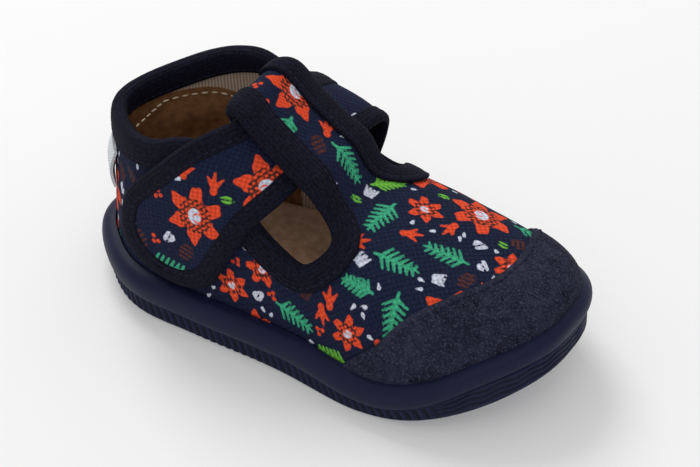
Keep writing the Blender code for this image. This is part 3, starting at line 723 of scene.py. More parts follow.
def apply_effect(tree, group, **values):
    node = tree.nodes.new("ShaderNodeGroup")
    node.node_tree = group
    for label, value in values.items():
        feed(tree, node.inputs[label], value)
    return node.outputs


print("navy as light:", np.round(srgb(15, 20, 40)[:3], 4))


# %% Weave, rib and nap
def make_weave():
    tree, take, give = effect("canvas weave", [("Map", "Vector"), ("Pitch", "Float")],
                              [("Height", "Float"), ("Slub", "Float")])
    split = parts_of(tree, take["Map"])
    rate = calc(tree, "DIVIDE", np.pi, take["Pitch"])
    warp, weft = (calc(tree, "SINE", calc(tree, "MULTIPLY", split[k], rate)) for k in (0, 1))
    over = calc(tree, "MULTIPLY_ADD", calc(tree, "MULTIPLY", warp, weft), 0.5, 0.5)
    slub = noise(tree, take["Map"], 0.9, 3.0)
    tree.links.new(calc(tree, "MULTIPLY", over, calc(tree, "ADD", slub, 0.5)), give["Height"])
    tree.links.new(slub, give["Slub"])
    return tree


def make_rib():
    tree, take, give = effect("tape rib", [("Map", "Vector"), ("Pitch", "Float")], [("Height", "Float")])
    rate = calc(tree, "DIVIDE", 2 * np.pi, take["Pitch"])
    along = calc(tree, "MULTIPLY", parts_of(tree, take["Map"])[0], rate)
    wander = noise(tree, take["Map"], 0.6, 2.0)
    rib = calc(tree, "SINE", calc(tree, "MULTIPLY_ADD", wander, 2.5, along))
    tree.links.new(calc(tree, "MULTIPLY_ADD", rib, 0.5, 0.5), give["Height"])
    return tree


def make_nap():
    tree, take, give = effect("suede nap", [("Place", "Vector")],
                              [("Height", "Float"), ("Tone", "Float"), ("Fleck", "Float")])
    fine = noise(tree, take["Place"], 1900.0, 3.0)
    patch = noise(tree, take["Place"], 420.0, 4.0)
    broad = noise(tree, take["Place"], 90.0, 3.0)
    tree.links.new(calc(tree, "MULTIPLY_ADD", patch, 0.6, calc(tree, "MULTIPLY", fine, 0.7)), give["Height"])
    mixed = calc(tree, "MULTIPLY_ADD", broad, 0.4, calc(tree, "MULTIPLY", patch, 0.6))
    tree.links.new(calc(tree, "MULTIPLY_ADD", calc(tree, "SUBTRACT", mixed, 0.5), 3.0, 0.5, clamp=True),
                   give["Tone"])
    tree.links.new(calc(tree, "MULTIPLY", calc(tree, "SUBTRACT", fine, 0.52), 5.0, clamp=True), give["Fleck"])
    return tree


WEAVE, RIB, NAP = make_weave(), make_rib(), make_nap()
print("effects:", [g.name for g in (WEAVE, RIB, NAP)])

# %% [markdown]
# ## Inks of the print
# The canvas is printed in flat inks on navy. Each ink has a mark on the cloth's points that tells how far
# the edge of a motif is, below zero inside it. The group turns those distances into crisp edges that the
# weave roughens a little, as ink does on coarse cloth. A painted image would blur close up, and distances
# stay sharp.

# %% Print inks
INKS = {
    "print_green": srgb(62, 168, 126),
    "print_lime": srgb(112, 190, 66),
    "print_orange": srgb(226, 76, 44),
    "print_brown": srgb(84, 46, 42),
    "print_white": srgb(206, 212, 228),
}
INK_FRAY, INK_EDGE = 0.24, 0.22


def make_inks():
    takes = [("Cloth", "Color"), ("Grain", "Float")] + [(label, "Float") for label in INKS]
    tree, take, give = effect("print inks", takes, [("Colour", "Color")])
    colour = take["Cloth"]
    rough = calc(tree, "MULTIPLY_ADD", take["Grain"], INK_FRAY, -INK_FRAY / 2)
    for label, ink in INKS.items():
        edge = calc(tree, "DIVIDE", calc(tree, "ADD", take[label], rough), -INK_EDGE)
        colour = blend(tree, calc(tree, "ADD", edge, 0.5, clamp=True), colour, ink)
    tree.links.new(colour, give["Colour"])
    return tree


PRINT = make_inks()
print("inks:", list(INKS))

# %% [markdown]
# ## Canvas and lining
# The wall has two cloths: printed canvas outside, and inside a ribbed lining with a suede counter. Their
# weave is too fine for a mesh, so it is a bump with a depth in millimetres, laid out by the map that each
# piece carries. That keeps the threads in step with the cloth where it bends.

# %% Starting a material
def finish(name, rough):
    """New material, its node tree and its shader."""
    material = bpy.data.materials.new(name)
    material.use_nodes = True
    shader = material.node_tree.nodes["Principled BSDF"]
    shader.inputs["Roughness"].default_value = rough
    shader.inputs["Specular IOR Level"].default_value = 0.1
    return material, material.node_tree, shader


def cloth_map(tree):
    node = tree.nodes.new("ShaderNodeUVMap")
    node.uv_map = "cloth"
    return node.outputs["UV"]


def object_place(tree):
    return tree.nodes.new("ShaderNodeTexCoord").outputs["Object"]


def mark(tree, name):
    node = tree.nodes.new("ShaderNodeAttribute")
    node.attribute_name = name
    return node.outputs["Fac"]


def dye(tree, shader, factor, first, second, mode="MIX"):
    """Colours a material between two tones."""
    tree.links.new(blend(tree, factor, first, second, mode), shader.inputs["Base Color"])


def emboss(tree, shader, height, depth):
    """Bump of a given depth in millimetres."""
    node = tree.nodes.new("ShaderNodeBump")
    node.inputs["Distance"].default_value = depth * MM
    tree.links.new(height, node.inputs["Height"])
    tree.links.new(node.outputs["Normal"], shader.inputs["Normal"])


print("materials before the first finish:", len(bpy.data.materials))


# %% Canvas and lining
def make_canvas():
    material, tree, shader = finish("printed canvas", 0.88)
    weave = apply_effect(tree, WEAVE, Map=cloth_map(tree), Pitch=0.85)
    worn = blend(tree, weave["Slub"], srgb(15, 20, 40), srgb(32, 41, 68))
    inks = apply_effect(tree, PRINT, Cloth=worn, Grain=weave["Height"], **{m: mark(tree, m) for m in INKS})
    shade = calc(tree, "MULTIPLY_ADD", weave["Height"], 0.8, 0.55)
    dye(tree, shader, 0.7, inks["Colour"], shade, "MULTIPLY")
    emboss(tree, shader, weave["Height"], 0.2)
    return material


def make_lining():
    material, tree, shader = finish("heel counter and lining", 0.9)
    nap = apply_effect(tree, NAP, Place=object_place(tree))
    rib = apply_effect(tree, RIB, Map=cloth_map(tree), Pitch=0.95)
    suede = blend(tree, nap["Tone"], srgb(102, 68, 42), srgb(146, 104, 68))
    cloth = blend(tree, rib["Height"], srgb(150, 131, 116), srgb(198, 180, 163))
    border = calc(tree, "MULTIPLY_ADD", mark(tree, "counter"), 2.0, 0.5, clamp=True)
    dye(tree, shader, border, cloth, suede)
    emboss(tree, shader, calc(tree, "ADD", calc(tree, "MULTIPLY", border, 0.6), nap["Height"]), 0.35)
    return material


CANVAS, LINING = make_canvas(), make_lining()
print("cloths:", CANVAS.name, "and", LINING.name)

# %% [markdown]
# ## Trims
# The tape is a dull ribbed weave with some fuzz, and the suede is a short nap without a direction. Hair
# would show the nap best, but it is heavy and can't be exported, so noise in three sizes gives its tone,
# its pale flecks and its bumps.

# %% Tape and suede
def make_tape_cloth():
    material, tree, shader = finish("woven tape", 0.9)
    rib = apply_effect(tree, RIB, Map=cloth_map(tree), Pitch=1.15)
    fuzz = noise(tree, object_place(tree), 1500.0, 4.0)
    soft = calc(tree, "MULTIPLY_ADD", calc(tree, "SUBTRACT", fuzz, 0.5), 2.4, 0.4)
    tone = calc(tree, "MULTIPLY_ADD", rib["Height"], 0.25, soft, clamp=True)
    dye(tree, shader, tone, srgb(6, 6, 15), srgb(27, 27, 44))
    emboss(tree, shader, calc(tree, "MULTIPLY_ADD", rib["Height"], 0.35, fuzz), 0.3)
    return material


def make_suede():
    material, tree, shader = finish("toe suede", 0.95)
    nap = apply_effect(tree, NAP, Place=object_place(tree))
    ground = blend(tree, nap["Tone"], srgb(17, 18, 31), srgb(46, 48, 66))
    dye(tree, shader, nap["Fleck"], ground, srgb(66, 69, 88))
    emboss(tree, shader, nap["Height"], 0.5)
    return material


TAPE_CLOTH, SUEDE = make_tape_cloth(), make_suede()
print("trims:", TAPE_CLOTH.name, "and", SUEDE.name)

# %% [markdown]
# ## Rubber
# Band and tread are one navy rubber. The band has a slight sheen, and the tread carries painted shade
# between its ribs, darker the deeper a rib is cut, which a mark on its points tells. The zigzag under the
# sole is a bump only, since it is hidden while the shoe stands.

# %% Rubber
ZIGZAG_REACH, ZIGZAG_PITCH = 4.0, 3.4


def make_rubber(name, rough, dark, light, dent):
    """Moulded rubber: clouded, with painted shade where the tread's ribs are cut in, and zigzag bars on the
    underside.
    """
    material, tree, shader = finish(name, rough)
    place = object_place(tree)
    cloud = noise(tree, place, 70.0, 4.0)
    pores = noise(tree, place, 1500.0, 2.0)
    split = parts_of(tree, place)
    zigzag = calc(tree, "ADD", split[0], calc(tree, "PINGPONG", split[1], ZIGZAG_REACH * MM))
    bars = calc(tree, "SINE", calc(tree, "MULTIPLY", zigzag, 2 * np.pi / (ZIGZAG_PITCH * MM)))
    relief = calc(tree, "MULTIPLY_ADD", calc(tree, "MULTIPLY", bars, 5.0), mark(tree, "underside"), pores)
    plain = blend(tree, cloud, dark, light)
    # painted shade: the tread is darkened where its ribs are cut in
    groove_shade = calc(tree, "MULTIPLY", mark(tree, "groove_shade"), 0.9)
    dye(tree, shader, groove_shade, plain, srgb(7, 8, 16))
    tree.links.new(calc(tree, "MULTIPLY_ADD", cloud, 0.2, rough - 0.1), shader.inputs["Roughness"])
    shader.inputs["Specular IOR Level"].default_value = 0.17
    emboss(tree, shader, relief, dent)
    return material


BAND_RUBBER = make_rubber("band rubber", 0.52, srgb(13, 18, 44), srgb(20, 26, 58), 0.03)
TREAD_RUBBER = make_rubber("tread rubber", 0.5, srgb(17, 22, 50), srgb(27, 32, 66), 0.06)
print("rubbers:", BAND_RUBBER.name, "and", TREAD_RUBBER.name)

# %% [markdown]
# ## Small finishes
# Footbed and ribbon use the nap and the weave again with their own colours. Thread is so thin that a
# little change of tone along it is enough.

# %% Footbed, ribbon and thread
def make_footbed():
    material, tree, shader = finish("footbed", 0.9)
    nap = apply_effect(tree, NAP, Place=object_place(tree))
    dye(tree, shader, nap["Tone"], srgb(158, 124, 100), srgb(200, 164, 136))
    emboss(tree, shader, nap["Height"], 0.25)
    return material


def make_ribbon():
    material, tree, shader = finish("heel ribbon", 0.7)
    weave = apply_effect(tree, WEAVE, Map=cloth_map(tree), Pitch=0.45)
    dye(tree, shader, weave["Height"], srgb(188, 194, 200), srgb(228, 232, 236))
    emboss(tree, shader, weave["Height"], 0.08)
    return material


def make_thread(name, dark, light):
    material, tree, shader = finish(name, 0.75)
    dye(tree, shader, noise(tree, object_place(tree), 2200.0, 1.0), dark, light)
    return material


FOOTBED, RIBBON = make_footbed(), make_ribbon()
DARK_THREAD = make_thread("dark thread", srgb(20, 20, 33), srgb(44, 44, 64))
CREAM_THREAD = make_thread("cream thread", srgb(200, 180, 150), srgb(232, 218, 194))
print("materials:", len(bpy.data.materials))

# %% [markdown]
# ## The cup sole
# Tread and band are one moulding in the hand, in two finishes. The band is a smooth bulging strip; the
# tread below it has slanted ribs along the sides and level lines round the toe, so that it grips when the
# toe rolls. The ribs could be cut with Booleans, but rings of points stacked on each other follow
# outline, toe spring and ribs at once and leave clean edges.

# %% Stacked rings
BAND = np.array([
    # height, step in from the outline
    [6.0, 2.3],
    [6.5, 0.9],
    [8.2, 0.1],
    [10.6, 0.0],
    [12.2, 0.6],
    [13.3, 1.9],
    [13.8, 3.7],
])
BAND_INSIDE, BAND_FLOOR = 3.9, 8.5
TREAD_HEIGHT, TREAD_STEP_IN, TREAD_TOE_OUT = 5.7, 1.9, 0.9
SEAM_SPRING_SHARE, SEAM_SHARE_DROP = 0.95, 0.10
SOLE_STATIONS, SHEET_STEP = 300, 3.0
print("band from", BAND[0, 0], "to", BAND[-1, 0], "mm, tread", TREAD_HEIGHT, "mm")


def profile_lift(angle):
    """Toe spring and seam rise of a whole profile, taken where the upper stands on the sole."""
    at = stepped_outline(angle, LAST_STEP_IN)[0]
    return toe_spring(at), seam_rise(at)


def arch_rise(x):
    t = np.clip((x - ARCH_FROM) / (ARCH_TO - ARCH_FROM), 0, 1)
    return ARCH * np.sin(np.pi * t) ** 2


def sheet(height, share):
    """Rule for the height of a level sheet that takes a share of the toe spring."""
    return lambda x: height + share * toe_spring(x) + seam_rise(x)


def stacked(rings, low, high):
    """Points and faces of rings laid on each other, closed below and above by sheets of given heights."""
    size = len(rings[0])
    points = [np.vstack(rings)]
    faces = []
    for i in range(len(rings) - 1):
        for k in range(size):
            m = (k + 1) % size
            faces.append((i * size + k, (i + 1) * size + k, (i + 1) * size + m, i * size + m))
    total = len(rings) * size
    for ring, start, height, under in ((rings[0], 0, low, True), (rings[-1], total - size, high, False)):
        loop = ring[:, :2]
        spread = even_spread(loop.min(0), loop.max(0), SHEET_STEP)
        spread = clear_of(spread[inside(spread, loop)], [loop], SHEET_STEP / 2)
        flat, tris = cut_cloth([loop], spread)
        place = np.concatenate([start + np.arange(size), total + np.arange(len(flat) - size)])
        extra = flat[size:]
        points.append(np.column_stack([extra, height(extra[:, 0])]))
        total += len(extra)
        faces += [tuple(place[t[::-1] if under else t]) for t in tris]
    return np.vstack(points), [f[::-1] for f in faces]


# %% Sole band
def make_band():
    angles, _ = even_angles(SOLE_STATIONS, 0.0)
    lift, rise = profile_lift(angles)
    rings = []
    for height, step in through(BAND, 3):
        x, y = stepped_outline(angles, step)
        share = SEAM_SPRING_SHARE - SEAM_SHARE_DROP * (height - BAND[0, 0]) / (RIM_HEIGHT - BAND[0, 0])
        rings.append(np.column_stack([x, y, height + share * lift + rise]))
    x, y = stepped_outline(angles, BAND_INSIDE)
    for height in (RIM_HEIGHT - 0.2, BAND_FLOOR):
        rings.append(np.column_stack([x, y, height + RIM_SPRING_SHARE * lift + rise]))
    return stacked(rings, sheet(BAND[0, 0], SEAM_SPRING_SHARE), sheet(BAND_FLOOR, RIM_SPRING_SHARE))


band = piece("sole_band_smooth", *make_band(), [BAND_RUBBER], keen=50)
belongs(band, "sole_band", "sole_band")


# %% Tread
RIB_PITCH, RIB_DEPTH, RIB_SLANT, RIB_POINTS = 2.45, 0.65, 1.0, 8
RIB_FROM, RIB_TO, RIB_FADE = 0.7, 5.2, 0.4
LINE_PITCH, LINE_WAVE, LINE_WAVE_RIBS = 1.3, 0.22, 3.4
LINES_FROM, LINES_FADE = 0.56, 0.16
FOOT_DRAW, FOOT_HEEL_DRAW, FOOT_HEIGHT = 1.0, 0.8, 1.6
LIP_DRAW, LIP_FROM, LIP_HEIGHT = 0.5, 4.8, 0.9
ARCH_FADE = 0.9


def tread_foot(height, heel):
    """How far the tread draws in: round its foot, more so at the heel, and under the band."""
    foot = (FOOT_DRAW + FOOT_HEEL_DRAW * heel) * (1 - min(height / FOOT_HEIGHT, 1.0)) ** 2
    return foot + LIP_DRAW * max((height - LIP_FROM) / LIP_HEIGHT, 0.0) ** 2


def wave_of(turns):
    """Grooves between 0 and 1, one in each turn."""
    return 0.5 - 0.5 * np.cos(2 * np.pi * turns)


def make_tread():
    ribs = int(round(even_angles(10, TREAD_STEP_IN)[1] / RIB_PITCH))
    angles, _ = even_angles(RIB_POINTS * ribs, TREAD_STEP_IN)
    turn = np.arange(RIB_POINTS * ribs) / RIB_POINTS
    toe = ease((np.cos(angles) - LINES_FROM) / LINES_FADE)
    lift, rise = profile_lift(angles)
    tall = 1 + rise / TREAD_HEIGHT
    at = stepped_outline(angles, LAST_STEP_IN)[0]
    heel, front = 1 - ease((at + 10.0) / 22.0), TREAD_TOE_OUT * ease((at - 40.0) / 22.0)
    rings, groove_shades = [], []
    for height in np.concatenate([[0.0, 0.35], np.linspace(0.7, 5.1, 24), [5.4, TREAD_HEIGHT]]):
        within = np.clip((height - RIB_FROM) / RIB_FADE, 0.0, 1.0)
        within *= np.clip((RIB_TO - height) / RIB_FADE, 0.0, 1.0)
        rib = wave_of(turn - RIB_SLANT * height / TREAD_HEIGHT)
        line = wave_of((height + LINE_WAVE * np.sin(2 * np.pi * turn / LINE_WAVE_RIBS)) / LINE_PITCH)
        cut = within * (rib**1.5 * (1 - toe) + line**1.5 * toe)
        x, y = stepped_outline(angles, TREAD_STEP_IN + tread_foot(height, heel) - front + RIB_DEPTH * cut)
        arch = arch_rise(x) * max(1 - height / ARCH_FADE, 0.0)
        share = 1 - (1 - SEAM_SPRING_SHARE) * height / TREAD_HEIGHT
        rings.append(np.column_stack([x, y, height * tall + lift * share + arch]))
        # the depth of each rib cut is also kept as painted shade for the tread's colour
        groove_shades.append(cut)
    high = sheet(TREAD_HEIGHT, SEAM_SPRING_SHARE)
    points, faces = stacked(rings, lambda x: toe_spring(x) + arch_rise(x), high)
    groove_shades = np.concatenate(groove_shades + [np.zeros(len(points) - len(rings) * len(angles))])
    underside = points[:, 2] - toe_spring(points[:, 0]) - arch_rise(points[:, 0]) < 0.01
    underside[:len(rings) * len(angles)] = False
    return points, faces, {"groove_shade": groove_shades, "underside": underside}


tread_points, tread_faces, tread_marks = make_tread()
tread = piece("tread_ribbed", tread_points, tread_faces, [TREAD_RUBBER], marks=tread_marks, keen=70)
belongs(tread, "tread", "tread")

# %% [markdown]
# ## Footbed
# A tan brushed sheet lies in the cup. It shows through the collar and the side opening, so its edge is
# rounded and its nap is uneven. A slab with a Bevel modifier would do on a flat floor; stacked rings also
# follow the toe spring.

# %% Insole
INSOLE_FROM, INSOLE_THICK, INSOLE_STEP_IN, INSOLE_STATIONS = 8.8, 2.4, 6.3, 240
INSOLE_EDGE = [
    # step in, height
    (0.0, 0.0), (0.0, 1.7), (0.06, 1.95), (0.2, 2.2), (0.45, 2.35), (0.8, INSOLE_THICK),
]


def make_insole():
    angles, _ = even_angles(INSOLE_STATIONS, INSOLE_STEP_IN)
    lift, rise = profile_lift(angles)
    rings = []
    for step, height in INSOLE_EDGE:
        x, y = stepped_outline(angles, INSOLE_STEP_IN + step)
        rings.append(np.column_stack([x, y, INSOLE_FROM + height + RIM_SPRING_SHARE * lift + rise]))
    low, high = (sheet(height, RIM_SPRING_SHARE) for height in (INSOLE_FROM, INSOLE_FROM + INSOLE_THICK))
    return stacked(rings, low, high)


insole = piece("insole_napped", *make_insole(), [FOOTBED], keen=50)
belongs(insole, "insole", "insole")

# %% [markdown]
# ## The upper's cloth
# Vamp, quarters, heel and T-bar are cut from the pattern as one wall. Its outer face is split finely
# enough to carry the print's edges, its inner face is plainer and is the lining with the heel counter. A
# few soft creases lie where the shoe flexes: across the vamp, at the T-bar's foot and at the ankle. A
# surface with Solidify could make the wall too, but here each face needs its own fineness and its own
# material.

# %% Creases of the worn wall
CREASES = np.array([
    # two end points (x, y, z), depth, breadth
    [13.0, -27.0, 33.0, 15.0, 20.0, 40.0, 0.65, 2.6],
    [22.0, -30.0, 29.0, 24.0, 12.0, 40.0, 0.5, 2.8],
    [-6.0, -32.0, 20.0, 6.0, -31.0, 26.0, 0.55, 2.4],
    [-2.0, 32.0, 22.0, 9.0, 30.0, 27.0, 0.55, 2.4],
    [-55.0, -19.0, 40.0, -42.0, -26.0, 34.0, 0.55, 3.0],
    [-60.0, 10.0, 34.0, -44.0, 25.0, 38.0, 0.55, 3.0],
])
CREST, CREST_PLACE, CREST_BREADTH = 0.45, 1.7, 0.8


def crease(points):
    """Soft troughs with a low ridge beside them, measured outwards."""
    out = np.zeros(len(points))
    for row in CREASES:
        a, b = row[:3], row[3:6]
        t = np.clip(((points - a) @ (b - a)) / ((b - a) @ (b - a)), 0.0, 1.0)
        d = np.linalg.norm(points - a - t[:, None] * (b - a), axis=1) / row[7]
        crest = CREST * np.exp(-((d - CREST_PLACE) / CREST_BREADTH) ** 2)
        out += row[6] * (crest - np.exp(-(d**2))) * np.sin(np.pi * t) ** 0.5
    return out


print("creases:", len(CREASES), "up to", CREASES[:, 6].max(), "mm deep")


# %% Map of the cloth
VAMP_FROM, VAMP_FADE, SIDE_FROM, SIDE_FADE = -6.0, 16.0, 60.0, 10.0


def cloth_place(xy):
    """Cloth map in millimetres: along the rim on the quarters, along the pattern on the vamp and T-bar."""
    angle, sec, level = locate(xy)
    dense = np.linspace(0, np.pi, 1441)
    px, py = stepped_outline(dense, LAST_STEP_IN)
    run = run_along(np.column_stack([px, py]))
    rim = np.interp(0.0, -px, run) - np.interp(np.abs(angle), dense, run)
    side = np.abs(xy[:, 1])
    front = ease((xy[:, 0] - VAMP_FROM) / VAMP_FADE) * (1 - ease((side - SIDE_FROM) / SIDE_FADE))
    bar = np.maximum(front, (side < T_MASK).astype(float))
    down = (1 - level) * profile_length(sec) * np.sign(angle + 1e-9)
    return np.column_stack([rim * (1 - bar) + xy[:, 0] * bar, down])


print("cloth map on the vamp:", np.round(cloth_place(np.array([[30.0, 5.0]]))[0], 1))


# %% Cut the upper
FOLD_LINE_POINTS, CLOTH_CLEAR = 34, 0.75


def cut_upper():
    angles, _ = even_angles(SOLE_STATIONS, LAST_STEP_IN)
    angles = np.where(angles > np.pi, angles - 2 * np.pi, angles)
    foot = pattern_of(angles, -SKIRT / profile_length(profile(angles)))
    start, stop = round_fold(EDGE, FOLD_STEPS)
    hole = np.vstack([start, EDGE, stop, np.linspace(stop[-1], start[0], FOLD_LINE_POINTS)[1:-1]])
    spread = even_spread(foot.min(0), foot.max(0), CLOTH_STEP)
    spread = spread[inside(spread, foot)]
    spread = spread[~inside(spread, hole)]
    return cut_cloth([foot, hole], clear_of(spread, [foot, hole], CLOTH_CLEAR))


flat, tris = cut_upper()
fine, small, middles = halve(flat, tris)
base = upper_wall(fine, 0.0)
dent = crease(base)
outer = upper_wall(fine, dent)
lining = upper_wall(flat, dent[:len(flat)] - WALL)
print("upper:", len(small), "outer and", len(tris), "inner triangles")

# %% [markdown]
# ## The print
# The cloth is strewn with small motifs in orange, green, lime, brown and white. They are drawn as
# distances in a motif's own flat place: a blossom with a hatched heart, feathered sprigs, flames,
# pebbles, tufts, berries and drops. Larger ones are strewn first and each keeps clear of the ones before
# it.

# %% Drawing the large motifs
FAR = 5.0


def stroke(u, v, a, b, broad, tip):
    """Distance to a stroke from a to b that tapers from one half breadth to another."""
    du, dv = b[0] - a[0], b[1] - a[1]
    t = np.clip(((u - a[0]) * du + (v - a[1]) * dv) / (du * du + dv * dv), 0.0, 1.0)
    return np.hypot(u - a[0] - t * du, v - a[1] - t * dv) - (broad + (tip - broad) * t)


def blossom(u, v, s):
    r, a = np.hypot(u, v), np.arctan2(v, u)
    petals = (r - s * (0.74 + 0.2 * np.cos(6 * a) + 0.05 * np.sin(17 * a + 1))) * 0.8
    between = np.abs(r * np.sin(a % (np.pi / 3) - np.pi / 6)) - 0.3
    net = np.minimum(np.abs((u + v) / 1.8 % 1 - 0.5), np.abs((u - v) / 1.8 % 1 - 0.5)) * 1.8 - 0.34
    heart = np.hypot(u, v * 1.15) - 0.25 * s
    seed = np.abs(np.hypot(u - 0.04 * s, v - 0.1 * s) - 0.14 * s) - 0.22
    return {"print_orange": np.maximum(petals, -np.maximum(between, 0.5 * s - r)),
            "print_brown": np.maximum(np.abs(r - 0.4 * s) - 0.15 * s, net),
            "print_white": np.maximum(heart, -seed)}


def sprig(u, v, s):
    d = stroke(u, v, (-s, 0), (s, 0), 0.42, 0.3)
    for k in range(6):
        root, leaf = s * (-0.72 + 0.28 * k), s * (0.62 - 0.06 * k)
        for way in (-1, 1):
            d = np.minimum(d, stroke(u, v, (root, 0), (root + 0.5 * leaf, way * 0.85 * leaf), 0.5, 0.32))
    return d


def green_sprig(u, v, s):
    return {"print_green": sprig(u, v, s)}


def lime_sprig(u, v, s):
    return {"print_lime": sprig(u, v, s)}


def flame(u, v, s):
    d = stroke(u, v, (-0.8 * s, 0), (0.9 * s, 0.1 * s), 0.34 * s, 0.1 * s)
    for way in (-1, 1):
        d = np.minimum(d, stroke(u, v, (-0.5 * s, 0), (0.35 * s, way * 0.7 * s), 0.26 * s, 0.1 * s))
    return {"print_orange": d}


print("inks of a blossom:", list(blossom(np.zeros(1), np.zeros(1), 9.0)))


# %% Drawing the small motifs
def hatch(u, v, s):
    patch = (np.hypot(u, v / 0.7) - s) * 0.7
    return {"print_brown": np.maximum(patch, np.abs((u + 0.4 * v) / 1.5 % 1 - 0.5) * 1.5 - 0.42)}


def pebble(u, v, s):
    stone = (np.hypot(u, v / 0.75) - s * (0.8 + 0.1 * np.cos(3 * np.arctan2(v, u)))) * 0.8
    vein = np.abs(v - 0.25 * s * np.sin(2.2 * u / s)) - 0.26
    return {"print_white": np.maximum(stone, -vein)}


def tuft(u, v, s):
    blades = [stroke(u, v, (0.3 * s * k - 0.5 * s, -0.6 * s), (0.5 * s * k - 0.8 * s, 0.75 * s), 0.42, 0.3)
              for k in range(4)]
    return {"print_white": np.minimum(np.minimum.reduce(blades), FAR)}


def berries(u, v, s):
    spots = [np.hypot(u - s * x, v - s * y) - 0.34 * s for x, y in ((0, 0.45), (-0.5, -0.2), (0.5, -0.3))]
    return {"print_orange": np.minimum.reduce(spots)}


def drop(u, v, s):
    return {"print_white": stroke(u, v, (-0.4 * s, 0), (0.7 * s, 0), 0.5 * s, 0.15 * s)}


def leaf(u, v, s):
    blade = np.maximum(np.hypot(u, v - 0.75 * s), np.hypot(u, v + 0.75 * s)) - 1.2 * s
    return {"print_lime": np.maximum(blade, 0.22 - np.abs(v))}


print("inks of a leaf:", list(leaf(np.zeros(1), np.zeros(1), 2.2)))


# %% Strewing the motifs
STREWN = [
    # motif, reach, how many on the whole upper
    (blossom, 9.0, 12),
    (green_sprig, 6.2, 30),
    (blossom, 5.4, 18),
    (lime_sprig, 5.0, 30),
    (green_sprig, 4.6, 24),
    (hatch, 3.0, 30),
    (flame, 3.0, 60),
    (pebble, 2.5, 60),
    (leaf, 2.2, 50),
    (tuft, 2.2, 70),
    (berries, 1.9, 80),
    (drop, 1.2, 160),
]
TRIES, KEEP_APART, DRAWN_REACH, FACING = 40, 0.96, 1.6, 0.3
print("motifs asked for:", sum(count for _, _, count in STREWN))


def point_normals(points, faces):
    a, b, c = (points[faces[:, k]] for k in range(3))
    n = np.zeros_like(points)
    for k in range(3):
        np.add.at(n, faces[:, k], np.cross(b - a, c - a))
    return n / np.maximum(np.linalg.norm(n, axis=1, keepdims=True), 1e-9)


def strew(points, normals, share, seed):
    """Distances to the edge of each ink for every point of a cloth."""
    chance = np.random.default_rng(seed)
    marks = {ink: np.full(len(points), FAR) for ink in INKS}
    middle, reach = np.zeros((0, 3)), np.zeros(0)
    for motif, size, count in STREWN:
        for _ in range(int(round(count * share))):
            tries = chance.integers(len(points), size=TRIES)
            apart = (reach + size) * KEEP_APART
            free = [i for i in tries if (np.linalg.norm(middle - points[i], axis=1) > apart).all()]
            if not free:
                continue
            here, n = points[free[0]], normals[free[0]]
            middle, reach = np.vstack([middle, here]), np.append(reach, size)
            t = np.cross(n, chance.normal(size=3))
            t /= np.linalg.norm(t)
            near = (np.linalg.norm(points - here, axis=1) < DRAWN_REACH * size) & (normals @ n > FACING)
            away = points[near] - here
            for ink, d in motif(away @ t, away @ np.cross(n, t), size).items():
                marks[ink][near] = np.minimum(marks[ink][near], d)
    print(len(middle), "motifs")
    return marks

# %% [markdown]
# ## Heel counter
# Inside the heel a brown suede counter is sewn over the ribbed lining. Its upper edge is an arch that
# sinks towards the front, and the mark on the lining tells how far below that edge a point lies.

# %% Sew up the upper
COUNTER = np.array([
    # x, height of the counter's edge
    [-66.0, 42.0],
    [-56.0, 44.4],
    [-46.0, 44.6],
    [-37.0, 40.0],
    [-30.0, 30.0],
    [-25.0, 16.0],
])
UPPER_SEED = 11
# patch below the strap's tab where the print is left off as painted shade: middle x, reach along x, top
# height
TAB_SHADE_MIDDLE, TAB_SHADE_REACH, TAB_SHADE_HEIGHT = -41, 17, 22


def make_upper():
    """Printed outer face, lining and the cut edge between them; the print is left off in a patch below the
    tab, which stays plain navy as painted shade.
    """
    count = len(outer)
    wall = []
    for a, b in rims(tris):
        m = middles[(min(a, b), max(a, b))]
        wall += [(m, a, a + count), (b, m, b + count), (m, a + count, b + count)]
    faces = np.vstack([small, tris[:, ::-1] + count, np.array(wall)])
    chosen = np.concatenate([np.zeros(len(small)), np.ones(len(tris)), np.zeros(len(wall))])
    marks = strew(outer, point_normals(outer, small), 1.0, UPPER_SEED)
    x, y, z = outer.T
    # painted shade: no print in a patch below the tab on the outer side, so the cloth there stays plain navy
    painted_tab_shade = (np.abs(x - TAB_SHADE_MIDDLE) < TAB_SHADE_REACH) & (y < 0) & (z < TAB_SHADE_HEIGHT)
    bare = np.full(len(lining), FAR)
    marks = {ink: np.concatenate([np.where(painted_tab_shade, FAR, d), bare]) for ink, d in marks.items()}
    x, _, z = lining.T
    depth = np.where(x < COUNTER[-1, 0], faired(COUNTER, 1, x) - z, -FAR)
    marks["counter"] = np.concatenate([np.full(count, -FAR), depth])
    place = np.vstack([cloth_place(fine), cloth_place(flat)])
    points = np.vstack([outer, lining])
    return piece("upper_canvas", points, faces, [CANVAS, LINING], place, marks, chosen, keen=60)


upper = make_upper()
belongs(upper, "upper", "upper")

# %% [markdown]
# ## Binding tape
# A woven tape is folded over the topline and sewn through. It is swept along the edge with a soft, padded
# profile and follows the T-bar over its fold, where its two ends roll under. A curve with a bevel would
# twist at the fold, so every row of the profile is laid on the wall by itself.

# %% Bind the topline
TAPE_SHAPE = [
    # distance into the wall, distance outside the wall's face
    (6.3, 0.15), (6.35, 0.75), (6.1, 1.1), (5.7, 1.22), (5.1, 1.08), (4.5, 1.26), (3.4, 1.42), (1.9, 1.44),
    (0.7, 1.32), (-0.2, 1.0), (-0.8, 0.5), (-1.0, -0.2), (-1.05, -0.8), (-1.0, -1.4), (-0.8, -2.1),
    (-0.2, -2.6), (0.7, -2.85), (2.2, -2.95), (4.4, -2.86), (5.1, -2.7), (5.7, -2.78), (6.2, -2.5),
    (6.3, -1.75), (3.0, -1.7), (-0.15, -1.7), (-0.15, 0.1), (3.0, 0.1),
]
TAPE_TURNS = 12


